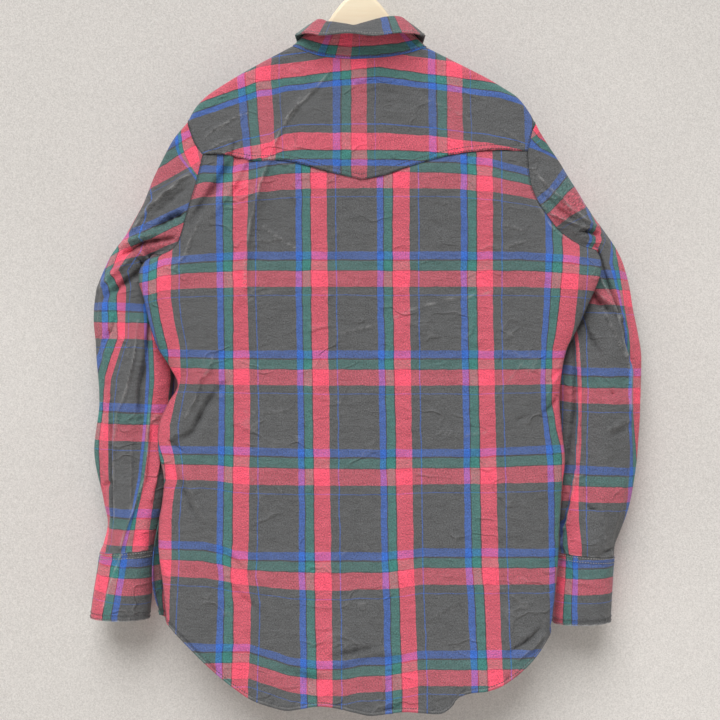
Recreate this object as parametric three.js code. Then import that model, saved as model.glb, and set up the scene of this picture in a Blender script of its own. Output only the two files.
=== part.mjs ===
import * as THREE from 'three';

// Millimetres, +Z up, the shirt's back faces +Y, the origin is inside the top of the hook
const CLOTH = 1.2;
const YOKE_PLY = 1.8;
const CUFF_PLY = 2.2;
const COLLAR_PLY = 1.8;
const BAND_PLY = 1.6;
const SEAM = 0.3;
const SLEEVE_SEAM = 0.45;

// Depth of the hung shirt
const RIDGE_ROUND = 13;
const SHOULDER_HALF = 13;
const BACK_HALF = 28;
const FRONT_HALF = 26;
const NECK_BULGE = 8;
const BACK_SIDE_ROUND = 60;
const FRONT_SIDE_ROUND = 100;
const SIDE_SEAM_LIFT = 10;
const UNDERARM_Z = { left: -406, right: -399 };
const ARMHOLE_FADE = 110;

// Front closure
const BAND_HALF = 17;
const LAP_HALF = 12;
const UNDERLAP_DROP = 1.7;
const SNAP_RADIUS = 5.6;
const SNAP_HEIGHT = 3;
const SNAP_COUNT = 7;
const SNAP_TOP = -232;
const SNAP_STEP = 92;

// Collar
const STAND_TOP = { halfX: 57, sideZ: -108, backZ: -118, frontZ: -170, backY: 27, frontY: -33 };
const STAND_LAP = 2.3;

// Hanger
const ARM_THICK = 14;
const ARM_BEVEL = 4;
const ARM_CLEAR = 4.4;
const ARM_DROOP = 3;
const WIRE_RADIUS = 1.7;
const HOOK_RADIUS = 19;

// Points along the shoulder ridge, x and z
const RIDGE_LEFT = [[89, -136], [127, -156], [164, -177], [183, -189], [200, -201], [213, -215],
  [223, -233]];
const RIDGE_RIGHT = [[-87, -138], [-127, -158], [-166, -178], [-184, -189], [-201, -200], [-214,
  -215], [-226, -235]];
const RIDGE_BEYOND = { left: [[258, -290], [320, -420]], right: [[-255, -284], [-330, -420]] };

// Armhole seams, x and z, from the shoulder down, and the place of the yoke seam on them
const ARMHOLE_LEFT = {
  yoke: [[223, -233], [219, -246], [213, -262], [206, -273], [202, -278]],
  body: [[202, -278], [206, -296], [211, -317], [218, -339], [224, -359], [229, -376], [235, -390],
    [244, -399], [260, -406]],
};
const ARMHOLE_RIGHT = {
  yoke: [[-226, -235], [-220, -248], [-217, -262], [-215, -269], [-214, -273]],
  body: [[-214, -273], [-215, -294], [-219, -320], [-228, -339], [-240, -356], [-251, -370], [-264,
    -381], [-283, -392], [-305, -399]],
};

// Side seams, x and z, from the underarm to the hem
const SIDE_LEFT = [
  [260, -406], [276, -411], [284, -422], [285, -440], [278, -464], [270, -499], [260, -526], [245,
   -550],
  [235, -573], [247, -595], [259, -623], [260, -656], [253, -692], [255, -723], [259, -745],
];
const TAIL_LEFT_BACK = [[259, -745], [260, -782], [255, -823], [249, -877]];
const TAIL_LEFT_FRONT = [[259, -745], [265, -775], [268, -805], [267, -835], [258, -868]];
const SIDE_RIGHT = [
  [-305, -399], [-310, -410], [-310, -425], [-304, -444], [-292, -471], [-278, -502], [-265, -528],
   [-259, -556],
  [-256, -592], [-259, -631], [-263, -669], [-260, -697], [-258, -726], [-256, -753], [-255, -778],
   [-253, -813],
  [-249, -852], [-244, -890],
];

// Hems, necklines and yoke seams, x and z, from the wearer's left to right
const BACK_HEM = [
  [249, -877], [223, -903], [195, -931], [161, -960], [138, -975], [110, -984], [94, -987], [74, -984],
  [53, -981], [30, -984], [6, -990], [-11, -994], [-30, -993], [-55, -990], [-79, -991], [-103, -991],
  [-114, -984], [-125, -970], [-141, -964], [-160, -962], [-178, -956], [-200, -942], [-223, -920],
   [-244, -890],
];
const FRONT_HEM_LEFT = [[258, -868], [226, -896], [190, -922], [150, -946], [105, -964], [55, -974],
  [-12, -978]];
const FRONT_HEM_RIGHT = [[12, -978], [-55, -974], [-105, -966], [-155, -954], [-195, -936], [-222,
  -912], [-244, -890]];
const BACK_NECK = [[89, -136], [78, -142], [55, -151], [33, -155], [11, -157], [-12, -156], [-38,
  -153], [-61, -148], [-76, -143], [-87, -138]];
const FRONT_NECK_LEFT = [[89, -136], [85, -160], [71, -183], [48, -199], [17, -208], [-12, -209]];
const FRONT_NECK_RIGHT = [[12, -209], [-17, -208], [-48, -199], [-70, -183], [-84, -160], [-87, -138]];
const YOKE_SEAM_LEFT = [[202, -278], [173, -278], [141, -286], [120, -287], [101, -286], [75, -291],
  [44, -300], [-1, -311]];
const YOKE_SEAM_RIGHT = [[-1, -311], [-30, -305], [-66, -293], [-121, -278], [-174, -272], [-202,
  -273], [-214, -273]];
const FRONT_YOKE_LEFT = [[202, -278], [170, -282], [135, -297], [108, -316], [80, -300], [45, -282],
  [17, -272], [-12, -268]];
const FRONT_YOKE_RIGHT = [[12, -268], [-17, -272], [-45, -282], [-80, -300], [-108, -316], [-138,
  -296], [-176, -279], [-214, -273]];

// Sleeve sections: outer edge x and z, inner edge x and z, centre y, half depth
const SLEEVE_LEFT = [
  [223, -233, 260, -406, 0, 20],
  [244, -260, 266, -404, -4, 21],
  [266, -300, 272, -404, -10, 22],
  [287, -345, 276, -409, -18, 23],
  [309, -381, 276, -421, -25, 24],
  [330, -409, 274, -440, -29, 24],
  [343, -442, 268, -462, -29, 25],
  [349, -482, 260, -490, -27, 26],
  [343, -521, 251, -521, -25, 27],
  [339, -560, 246, -556, -22, 28],
  [338, -596, 247, -595, -20, 28],
  [342, -632, 249, -631, -20, 28],
  [344, -665, 252, -663, -20, 28],
  [341, -694, 251, -692, -20, 29],
  [335, -726, 256, -723, -20, 30],
  [330, -753, 261, -750, -20, 31],
  [335, -778, 266, -773, -20, 32],
  [340, -791, 267, -786, -20, 32],
];
const SLEEVE_RIGHT = [
  [-226, -235, -305, -399, 0, 20],
  [-243, -260, -309, -397, -4, 21],
  [-261, -287, -310, -399, -10, 22],
  [-280, -318, -308, -406, -18, 23],
  [-300, -349, -305, -419, -25, 24],
  [-319, -373, -300, -436, -29, 24],
  [-337, -399, -294, -456, -29, 25],
  [-348, -433, -284, -480, -27, 26],
  [-356, -475, -272, -508, -25, 27],
  [-361, -521, -260, -536, -22, 28],
  [-362, -566, -253, -571, -21, 28],
  [-363, -606, -253, -606, -20, 28],
  [-360, -652, -255, -650, -20, 28],
  [-354, -697, -257, -695, -20, 29],
  [-346, -734, -258, -731, -20, 30],
  [-338, -762, -259, -758, -20, 31],
  [-332, -782, -259, -777, -20, 32],
  [-331, -796, -258, -791, -20, 32],
];
const CUFF_LEFT = [[353, -876, 275, -877, -20, 33]];
const CUFF_RIGHT = [[-327, -881, -251, -883, -20, 33]];

// Largest folds: ends x and z, half width, height above the cloth
const BACK_FOLDS = [
  [55, -191, 146, -406, 15, 4],
  [174, -571, 233, -645, 11, 5],
  [233, -693, 202, -759, 11, 4],
  [-43, -487, -164, -454, 9, 3],
  [-285, -480, -246, -562, 12, 5],
  [-256, -577, -205, -613, 10, 4],
  [245, -440, 190, -520, 12, -4],
];
const FRONT_FOLDS = [
  [90, -330, 130, -800, 22, 4],
  [-90, -330, -125, -790, 22, 4],
  [190, -330, 215, -640, 16, -4],
  [-195, -330, -215, -640, 16, -4],
];

const COLS_RIDGE = 5;
const COLS_NECK = 12;
const COLS_BACK = COLS_RIDGE * 2 + COLS_NECK;
const NECK_FRONT = [0, 0.04, 0.12, 0.26, 0.44, 0.63, 0.82, 1];
const COLS_FRONT = 12;
const YOKE_ROWS = [0, 0.03, 0.1, 0.22, 0.42, 0.7, 1];
const BODY_ARM_ROWS = 8;
const BODY_SIDE_ROWS = 13;

const group = new THREE.Group();
group.name = 'western_shirt_on_hanger';

// Vector helpers
const add = (a, b, k = 1) => [a[0] + b[0] * k, a[1] + b[1] * k, a[2] + b[2] * k];
const dot = (a, b) => a[0] * b[0] + a[1] * b[1] + a[2] * b[2];
const cross = (a, b) => [a[1] * b[2] - a[2] * b[1], a[2] * b[0] - a[0] * b[2],
  a[0] * b[1] - a[1] * b[0]];
const unit = (a) => {
  const size = Math.hypot(a[0], a[1], a[2]) || 1;
  return [a[0] / size, a[1] / size, a[2] / size];
};
const mix = (a, b, t) => a + (b - a) * t;
const clamp = (t) => Math.min(1, Math.max(0, t));
const smooth = (t) => clamp(t) * clamp(t) * (3 - 2 * clamp(t));
const arc = (t) => Math.sqrt(1 - (1 - clamp(t)) ** 2);

// Smooth curve through x, z points, sampled at fractions of its length
function sample(points, fractions) {
  const curve = new THREE.CatmullRomCurve3(points.map((p) => new THREE.Vector3(p[0], 0, p[1])),
    false, 'centripetal');
  curve.arcLengthDivisions = 400;
  return fractions.map((f) => {
    const p = curve.getPointAt(clamp(f));
    return [p.x, p.z];
  });
}
const even = (n) => Array.from({ length: n + 1 }, (_, i) => i / n);
const easeIn = (n) => even(n).map((t) => 1 - Math.cos((t * Math.PI) / 2));
const easeOut = (n) => even(n).map((t) => Math.sin((t * Math.PI) / 2));
const easeBoth = (n) => even(n).map((t) => 0.5 - 0.5 * Math.cos(t * Math.PI));
const join = (...lists) => lists.reduce((all, list) => (all.length ? all.concat(list.slice(1))
  : list.slice()), []);

// Height of the shoulder ridge at x, carried up over the neck opening
const ridgeLine = join(
  RIDGE_BEYOND.right.slice().reverse(),
  [RIDGE_RIGHT[6]].concat(sample(RIDGE_RIGHT.slice().reverse(), even(30))),
  [[-87, -138]].concat([[0, -88]], [[89, -136]]),
  [[89, -136]].concat(sample(RIDGE_LEFT, even(30))),
  [RIDGE_LEFT[6]].concat(RIDGE_BEYOND.left),
).sort((a, b) => a[0] - b[0]);
function ridge(x) {
  let i = 1;
  while (i < ridgeLine.length - 1 && ridgeLine[i][0] < x) i += 1;
  const a = ridgeLine[i - 1];
  const b = ridgeLine[i];
  return b[0] - a[0] < 1e-6 ? a[1] : mix(a[1], b[1], (x - a[0]) / (b[0] - a[0]));
}

// Height of the folds at a point
function foldHeight(folds, x, z) {
  return folds.reduce((sum, [x1, z1, x2, z2, width, height]) => {
    const length = Math.hypot(x2 - x1, z2 - z1);
    const t = ((x - x1) * (x2 - x1) + (z - z1) * (z2 - z1)) / length ** 2;
    const near = clamp(t);
    const gap = Math.hypot(x - mix(x1, x2, near), z - mix(z1, z2, near));
    return sum + height * Math.exp(-((gap / width) ** 2)) * (0.4 + 0.6 * Math.sin(Math.PI * near));
  }, 0);
}

// Depth of the torso's back (side 1) or front (side -1) at x and z
function depth(side, x, z, fromEdge) {
  const h = ridge(x) - z;
  const underarm = x > 0 ? UNDERARM_Z.left : UNDERARM_Z.right;
  const open = arc((z - underarm) / ARMHOLE_FADE);
  const full = side > 0 ? BACK_HALF : FRONT_HALF;
  const neck = NECK_BULGE * Math.exp(-((x / 70) ** 2) - ((z + 150) / 50) ** 2);
  const half = mix(SHOULDER_HALF, full, smooth(h / 170)) + neck;
  const round = arc(fromEdge / (side > 0 ? BACK_SIDE_ROUND : FRONT_SIDE_ROUND));
  const lift = SIDE_SEAM_LIFT * (1 - open) * smooth((underarm - z) / 40);
  const part = mix(round, 1, open);
  const folds = foldHeight(side > 0 ? BACK_FOLDS : FRONT_FOLDS, x, z);
  const wave = 4 * Math.sin(x / 34 + (side > 0 ? 0 : 2)) * smooth((-840 - z) / 140);
  const relief = (folds * side + wave) * Math.min(round, 1);
  return (lift + part * (side * half - lift) + relief) * arc(h / RIDGE_ROUND);
}

// Mesh from outer and inner grids, closed along every rim
function shell(outer, inner, closed) {
  const rows = outer.length;
  const cols = outer[0].length;
  const points = outer.flat().concat(inner.flat());
  const shift = rows * cols;
  const at = (layer, r, c) => layer * shift + r * cols + (c % cols);
  const faces = [];
  const quad = (a, b, c, d) => faces.push([a, b, c], [a, c, d]);
  const last = closed ? cols : cols - 1;
  for (let r = 0; r < rows - 1; r += 1) {
    for (let c = 0; c < last; c += 1) {
      quad(at(0, r, c), at(0, r, c + 1), at(0, r + 1, c + 1), at(0, r + 1, c));
      quad(at(1, r, c), at(1, r + 1, c), at(1, r + 1, c + 1), at(1, r, c + 1));
    }
  }
  for (let c = 0; c < last; c += 1) {
    quad(at(0, 0, c), at(1, 0, c), at(1, 0, c + 1), at(0, 0, c + 1));
    quad(at(0, rows - 1, c), at(0, rows - 1, c + 1), at(1, rows - 1, c + 1), at(1, rows - 1, c));
  }
  for (let r = 0; !closed && r < rows - 1; r += 1) {
    quad(at(0, r, 0), at(0, r + 1, 0), at(1, r + 1, 0), at(1, r, 0));
    quad(at(0, r, cols - 1), at(1, r, cols - 1), at(1, r + 1, cols - 1), at(0, r + 1, cols - 1));
  }
  const volume = faces.reduce((sum, [a, b, c]) => sum + dot(points[a], cross(points[b], points[c])), 0);
  const index = faces.flatMap(([a, b, c]) => (volume < 0 ? [a, c, b] : [a, b, c]));
  const geometry = new THREE.BufferGeometry();
  geometry.setAttribute('position', new THREE.Float32BufferAttribute(points.flat(), 3));
  geometry.setIndex(index);
  geometry.computeVertexNormals();
  return geometry;
}

// Wall of cloth: the grid moved inward along its normals, kept square to the seams it meets
function wall(grid, ply, facing, pins, closed = false) {
  const rows = grid.length;
  const cols = grid[0].length;
  const pick = (r, c) => grid[Math.min(rows - 1, Math.max(0, r))][closed ? (c + cols) % cols
    : Math.min(cols - 1, Math.max(0, c))];
  const normal = (r, c) => {
    const across = add(pick(r, c + 1), pick(r, c - 1), -1);
    const down = add(pick(r + 1, c), pick(r - 1, c), -1);
    return unit(cross(across, down));
  };
  const middle = [Math.floor(rows / 2), Math.floor(cols / (closed ? 4 : 2))];
  const sign = dot(normal(middle[0], middle[1]), facing(grid, middle[0], middle[1])) < 0 ? -1 : 1;
  const inner = grid.map((line, r) => line.map((p, c) => {
    let n = normal(r, c).map((value) => value * sign);
    const held = pins(r, c);
    if (held.length > 1) {
      const square = unit(cross(held[0], held[1]));
      n = square.map((value) => value * (dot(square, n) < 0 ? -1 : 1));
    } else if (held.length === 1) {
      n = unit(add(n, held[0], -dot(n, held[0])));
    }
    return add(p, n, -ply);
  }));
  return shell(grid, inner, closed);
}

function piece(name, geometry, colour, roughness, metalness) {
  const material = new THREE.MeshStandardMaterial({ color: colour, roughness, metalness });
  const mesh = new THREE.Mesh(geometry, material);
  mesh.name = name;
  group.add(mesh);
  return mesh;
}

// Four-sided panel in x and z from its edge points
function panel(top, bottom, left, right) {
  const lengths = (list) => {
    const sums = [0];
    for (let i = 1; i < list.length; i += 1) {
      sums.push(sums[i - 1] + Math.hypot(list[i][0] - list[i - 1][0], list[i][1] - list[i - 1][1]));
    }
    return sums.map((value) => value / sums[sums.length - 1]);
  };
  const topS = lengths(top);
  const bottomS = lengths(bottom);
  const leftT = lengths(left);
  const rightT = lengths(right);
  return left.map((_, r) => top.map((__, c) => {
    const t = (leftT[r] + rightT[r]) / 2;
    const s = mix(topS[c], bottomS[c], t);
    return [0, 1].map((k) => {
      const edges = mix(top[c][k], bottom[c][k], t) + mix(left[r][k], right[r][k], s);
      const upper = mix(top[0][k], top[top.length - 1][k], s);
      const lower = mix(bottom[0][k], bottom[bottom.length - 1][k], s);
      return edges - mix(upper, lower, t);
    });
  }));
}

const PIN_Y = [0, 1, 0];
const PIN_Z = [0, 0, 1];

// Outward direction of an armhole edge at each of its points, away from the torso
function outward(list, side) {
  return list.map((_, i) => {
    const a = list[Math.max(0, i - 1)];
    const b = list[Math.min(list.length - 1, i + 1)];
    const run = unit([b[0] - a[0], 0, b[1] - a[1]]);
    return [-run[2] * side, 0, run[0] * side];
  });
}

// Edge points shared by the torso and the sleeves
const armLeft = {
  yoke: sample(ARMHOLE_LEFT.yoke, YOKE_ROWS),
  body: sample(ARMHOLE_LEFT.body, even(BODY_ARM_ROWS)),
};
const armRight = {
  yoke: sample(ARMHOLE_RIGHT.yoke, YOKE_ROWS),
  body: sample(ARMHOLE_RIGHT.body, even(BODY_ARM_ROWS)),
};
const TAIL_ROWS = 4;
const sideLeft = sample(SIDE_LEFT, even(BODY_SIDE_ROWS - TAIL_ROWS));
const sideLeftBack = join(sideLeft, sample(TAIL_LEFT_BACK, even(TAIL_ROWS)));
const sideLeftFront = join(sideLeft, sample(TAIL_LEFT_FRONT, even(TAIL_ROWS)));
const sideRight = sample(SIDE_RIGHT, even(BODY_SIDE_ROWS));
const outLeft = outward(join(armLeft.yoke, armLeft.body), 1);
const outRight = outward(join(armRight.yoke, armRight.body), -1);
const yokeCount = YOKE_ROWS.length - 1;

// Torso panel as a grid of points with its seam gaps
function torso(side, flat, edges, gaps) {
  const cols = flat[0].length;
  return flat.map((line, r) => line.map(([x, z], c) => {
    const toLeft = edges.left ? Math.hypot(x - flat[r][0][0], z - flat[r][0][1]) : 1e4;
    const toRight = edges.right ? Math.hypot(x - flat[r][cols - 1][0], z - flat[r][cols - 1][1]) : 1e4;
    const y = depth(side, x, z, Math.min(toLeft, toRight));
    return add([x, y - side * (edges.drop ? edges.drop(x) : 0), z], gaps(r, c), SEAM / 2);
  }));
}

// Neck edge in x and z from the wearer's left lap, round the back, to the right lap,
// and its upward directions
const NECK_SEGS = NECK_FRONT.length - 1;
const neckParts = [
  sample(FRONT_NECK_LEFT, NECK_FRONT).reverse(),
  sample(BACK_NECK, easeBoth(COLS_NECK)),
  sample(FRONT_NECK_RIGHT.slice().reverse(), NECK_FRONT),
];
const neckFlat = join(...neckParts);
const riseParts = neckParts.map((list, i) => outward(list, i === 1 ? -1 : 1));
const neckRises = join(...riseParts);
neckRises[NECK_SEGS] = unit(add(riseParts[0][NECK_SEGS], riseParts[1][0]));
neckRises[NECK_SEGS + COLS_NECK] = unit(add(riseParts[1][COLS_NECK], riseParts[2][0]));

// Back yoke, pointed at the middle of its lower seam
const yokeTop = join(
  sample(RIDGE_LEFT.slice().reverse(), easeIn(COLS_RIDGE)),
  sample(BACK_NECK, easeBoth(COLS_NECK)),
  sample(RIDGE_RIGHT, easeOut(COLS_RIDGE)),
);
const seamLeft = sample(YOKE_SEAM_LEFT, even(COLS_BACK / 2));
const seamRight = sample(YOKE_SEAM_RIGHT, even(COLS_BACK / 2));
const yokeBottom = join(seamLeft, seamRight);
const yokeFlat = panel(yokeTop, yokeBottom, armLeft.yoke, armRight.yoke);
const onRidge = (c) => c <= COLS_RIDGE || c >= COLS_BACK - COLS_RIDGE;
const onNeck = (c) => c >= COLS_RIDGE && c <= COLS_BACK - COLS_RIDGE;
const yokeGrid = torso(1, yokeFlat, { left: true, right: true }, (r) => {
  const gap = [0, 0, 0];
  if (r === 0) gap[1] = 1;
  if (r === yokeCount) gap[2] = 1;
  return gap;
});
const backFacing = () => [0, 1, 0];
const frontFacing = () => [0, -1, 0];
const yokePins = (r, c) => {
  const held = [];
  if (r === 0 && onRidge(c)) held.push(PIN_Y);
  if (r === 0 && onNeck(c)) held.push(neckRises[c - COLS_RIDGE + NECK_SEGS]);
  if (r === yokeCount) held.push(PIN_Z);
  if (c === 0) held.push(outLeft[r]);
  if (c === COLS_BACK) held.push(outRight[r]);
  return held.slice(0, 2);
};
piece('back_yoke', wall(yokeGrid, YOKE_PLY, backFacing, yokePins), '#6e4c52', 0.92, 0);

// Back panel from the yoke seam to the curved hem
const bodyLeft = join(armLeft.body, sideLeftBack);
const bodyRight = join(armRight.body, sideRight);
const backFlat = panel(yokeBottom, sample(BACK_HEM, even(COLS_BACK)), bodyLeft, bodyRight);
const backGrid = torso(1, backFlat, { left: true, right: true }, (r, c) => {
  const gap = [0, 0, 0];
  if (r === 0) gap[2] = -1;
  if (r >= BODY_ARM_ROWS && (c === 0 || c === COLS_BACK)) gap[1] = 1;
  return gap;
});
const bodyPins = (cols, leftSide, rightSide) => (r, c) => {
  const held = [];
  if (r === 0) held.push(PIN_Z);
  if (leftSide && c === 0 && r <= BODY_ARM_ROWS) held.push(outLeft[r + yokeCount]);
  if (rightSide && c === cols && r <= BODY_ARM_ROWS) held.push(outRight[r + yokeCount]);
  if (((leftSide && c === 0) || (rightSide && c === cols)) && r >= BODY_ARM_ROWS) held.push(PIN_Y);
  return held.slice(0, 2);
};
piece('back_body', wall(backGrid, CLOTH, backFacing, bodyPins(COLS_BACK, true, true)), '#5a4a4e',
  0.92, 0);

// Front yokes and front panels, the left lapping over the right
const SHOULDER_COLS = COLS_FRONT - NECK_SEGS;
const lapDrop = (x) => UNDERLAP_DROP * smooth((x + 36) / 16);
const edgeAt = (x, from, to, fractions) => fractions.map((f) => [x, mix(from, to, f)]);
function frontSide(name, wearer) {
  const isLeft = wearer === 'left';
  const arm = isLeft ? armLeft : armRight;
  const ridgeEdge = isLeft
    ? sample(RIDGE_LEFT.slice().reverse(), even(SHOULDER_COLS))
    : sample(RIDGE_RIGHT, even(SHOULDER_COLS));
  const neckEdge = isLeft ? neckFlat.slice(0, NECK_SEGS + 1).reverse()
    : neckFlat.slice(-NECK_SEGS - 1).reverse();
  const top = isLeft ? join(ridgeEdge, neckEdge) : join(neckEdge, ridgeEdge);
  const seam = sample(isLeft ? FRONT_YOKE_LEFT : FRONT_YOKE_RIGHT, even(COLS_FRONT));
  const lapX = isLeft ? -LAP_HALF : LAP_HALF;
  const yokeLap = edgeAt(lapX, -209, -268, YOKE_ROWS);
  const flatYoke = isLeft ? panel(top, seam, arm.yoke, yokeLap) : panel(top, seam, yokeLap, arm.yoke);
  const edges = { left: isLeft, right: !isLeft, drop: isLeft ? null : lapDrop };
  const corner = isLeft ? SHOULDER_COLS : NECK_SEGS;
  const ridgeCol = (c) => (isLeft ? c <= corner : c >= corner);
  const neckCol = (c) => (isLeft ? c >= corner : c <= corner);
  const riseAt = (c) => (isLeft ? neckRises[COLS_FRONT - c] : neckRises[neckRises.length - 1 - c]);
  const armCol = isLeft ? 0 : COLS_FRONT;
  const outs = isLeft ? outLeft : outRight;
  const yokePoints = torso(-1, flatYoke, edges, (r, c) => {
    const gap = [0, 0, 0];
    if (r === 0 && ridgeCol(c)) gap[1] = -1;
    if (r === yokeCount) gap[2] = 1;
    return gap;
  });
  const pinsYoke = (r, c) => {
    const held = [];
    if (r === 0 && ridgeCol(c)) held.push(PIN_Y);
    if (r === 0 && neckCol(c)) held.push(riseAt(c));
    if (r === yokeCount) held.push(PIN_Z);
    if (c === armCol) held.push(outs[r]);
    return held.slice(0, 2);
  };
  piece(`front_yoke_${name}`, wall(yokePoints, CLOTH, frontFacing, pinsYoke), '#6a4a50', 0.92, 0);
  const side = join(arm.body, isLeft ? sideLeftFront : sideRight);
  const rows = side.length - 1;
  const hem = sample(isLeft ? FRONT_HEM_LEFT : FRONT_HEM_RIGHT, even(COLS_FRONT));
  const lap = edgeAt(lapX, -268, -978, even(rows));
  const flatBody = isLeft ? panel(seam, hem, side, lap) : panel(seam, hem, lap, side);
  const bodyPoints = torso(-1, flatBody, edges, (r, c) => {
    const gap = [0, 0, 0];
    if (r === 0) gap[2] = -1;
    if (r >= BODY_ARM_ROWS && c === armCol) gap[1] = -1;
    return gap;
  });
  const pinsBody = bodyPins(COLS_FRONT, isLeft, !isLeft);
  piece(`front_body_${name}`, wall(bodyPoints, CLOTH, frontFacing, pinsBody), '#564a4e', 0.92, 0);
  return yokePoints[0].slice(isLeft ? corner : 0, isLeft ? COLS_FRONT + 1 : corner + 1);
}
const neckLeft = frontSide('left', 'left');
const neckRight = frontSide('right', 'right');

// Snap band over the lapped fronts
const bandXs = [BAND_HALF, BAND_HALF / 2, 0, -BAND_HALF / 2, -BAND_HALF];
const bandRows = even(26).map((f) => mix(-211.5, -977, f));
const bandDepth = (x, z) => depth(-1, x, z, 1e4) - SEAM - BAND_PLY - 0.15;
const bandGrid = bandRows.map((z) => bandXs.map((x) => [x, bandDepth(x, z), z]));
piece('front_band', wall(bandGrid, BAND_PLY, frontFacing, () => []), '#63464c', 0.92, 0);

// Sleeve rings from the armhole to the cuff
const RING = 2 * (yokeCount + BODY_ARM_ROWS);
function armLoop(arm, outs) {
  const edge = join(arm.yoke, arm.body);
  const place = (side, i) => {
    const [x, z] = edge[i];
    return add([x, depth(side, x, z, 0), z], outs[i], SLEEVE_SEAM);
  };
  const back = edge.map((_, i) => place(1, i));
  const front = edge.map((_, i) => place(-1, i));
  return back.concat(front.slice(1, -1).reverse());
}
const loopShare = (edge) => {
  const sums = [0];
  for (let i = 1; i < edge.length; i += 1) {
    sums.push(sums[i - 1] + Math.hypot(edge[i][0] - edge[i - 1][0], edge[i][1] - edge[i - 1][1]));
  }
  return sums.map((value) => value / sums[sums.length - 1]);
};
function sectionRing([ox, oz, ix, iz, cy, half], shares, ripple) {
  return Array.from({ length: RING }, (_, j) => {
    const back = j <= RING / 2;
    const share = shares[back ? j : RING - j];
    const angle = Math.PI * (back ? share : 2 - share);
    const swell = 1 + ripple * Math.cos(5 * angle + 0.8) + ripple * 0.6 * Math.cos(9 * angle);
    const across = 0.5 * Math.cos(angle) * swell;
    return [
      (ox + ix) / 2 + (ox - ix) * across,
      cy + half * Math.sin(angle) * swell,
      (oz + iz) / 2 + (oz - iz) * across,
    ];
  });
}
function sleeve(name, table, arm, outs, cuffRow) {
  const first = armLoop(arm, outs);
  const armShares = loopShare(join(arm.yoke, arm.body));
  const rings = table.map((row, k) => {
    if (k === 0) return first;
    const blend = smooth(k / 5);
    const shares = armShares.map((share, i) => mix(share, i / (armShares.length - 1), blend));
    const ripple = 0.035 * smooth((k - 3) / 4) * (1 - 0.7 * smooth((k - 14) / 3));
    const oval = sectionRing(row, shares, ripple);
    const near = smooth(1 - k / 3.2);
    const shiftTop = [row[0] - table[0][0], row[4], row[1] - table[0][1]];
    const shiftLow = [row[2] - table[0][2], row[4], row[3] - table[0][3]];
    return oval.map((p, j) => {
      const share = shares[j <= RING / 2 ? j : RING - j];
      const moved = add(first[j], [0, 1, 2].map((i) => mix(shiftTop[i], shiftLow[i], share)));
      return [0, 1, 2].map((i) => mix(p[i], moved[i], near));
    });
  });
  const lastRow = table.length - 1;
  const facing = (grid, r, c) => {
    const centre = grid[r].reduce((sum, p) => add(sum, p, 1 / RING), [0, 0, 0]);
    return add(grid[r][c], centre, -1);
  };
  const outAt = (c) => outs[c <= RING / 2 ? c : RING - c];
  const pins = (r, c) => {
    if (r === 0) return [outAt(c)];
    return r === lastRow ? [PIN_Z] : [];
  };
  piece(`sleeve_${name}`, wall(rings, CLOTH, facing, pins, true), '#5c484c', 0.92, 0);
  const end = rings[lastRow];
  const shares = even(RING / 2);
  const close = sectionRing(cuffRow, shares, 0);
  const cuff = [0, 0.5, 1].map((t) => end.map((p, j) => {
    const q = [0, 1, 2].map((i) => mix(p[i], close[j][i], t));
    return [q[0], q[1], q[2] - SEAM * (1 - t)];
  }));
  const cuffPins = (r) => (r === 0 ? [PIN_Z] : []);
  piece(`cuff_${name}`, wall(cuff, CUFF_PLY, facing, cuffPins, true), '#4f484a', 0.92, 0);
  return cuff;
}
const cuffLeft = sleeve('left', SLEEVE_LEFT, armLeft, outLeft, CUFF_LEFT[0]);
const cuffRight = sleeve('right', SLEEVE_RIGHT, armRight, outRight, CUFF_RIGHT[0]);

// Collar stand on the neck edge, its left end lapping over its right
const backCols = [COLS_RIDGE, COLS_BACK - COLS_RIDGE + 1];
const neckRing = join(neckLeft.slice().reverse(), yokeGrid[0].slice(...backCols),
  neckRight.slice().reverse());
const STAND_COLS = neckRing.length - 1;
const lapOut = (u) => STAND_LAP * (1 - u);
const ringOut = (p) => unit([p[0] / 89 ** 2, (p[1] + 3) / 30 ** 2, 0]);
const lapLow = (u) => 0.9 * smooth(1 - u / 0.2);
const standLow = neckRing.map((p, i) => add(add(p, neckRises[i], SEAM + 0.3), ringOut(p),
  lapLow(i / STAND_COLS)));
const standHigh = neckRing.map((p, i) => {
  const angle = Math.atan2((p[1] + 3) / 30, p[0] / 89);
  const sin = Math.sin(angle);
  const y = sin > 0 ? STAND_TOP.backY * sin : -STAND_TOP.frontY * sin;
  const z = mix(STAND_TOP.sideZ, sin > 0 ? STAND_TOP.backZ : STAND_TOP.frontZ, Math.abs(sin) ** 1.6);
  const q = [STAND_TOP.halfX * Math.cos(angle), y, z];
  return add(q, ringOut(p), lapOut(i / STAND_COLS));
});
const standGrid = [0, 0.35, 0.7, 1].map((t) => standLow.map((p, i) => [0, 1, 2].map((k) => mix(p[k],
  standHigh[i][k], t))));
const aroundFacing = (grid, r, c) => ringOut(grid[r][c]);
const lowPins = (r, c) => (r === 0 ? [neckRises[c]] : []);
piece('collar_stand', wall(standGrid, COLLAR_PLY, aroundFacing, lowPins), '#8a5058', 0.92, 0);

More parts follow.
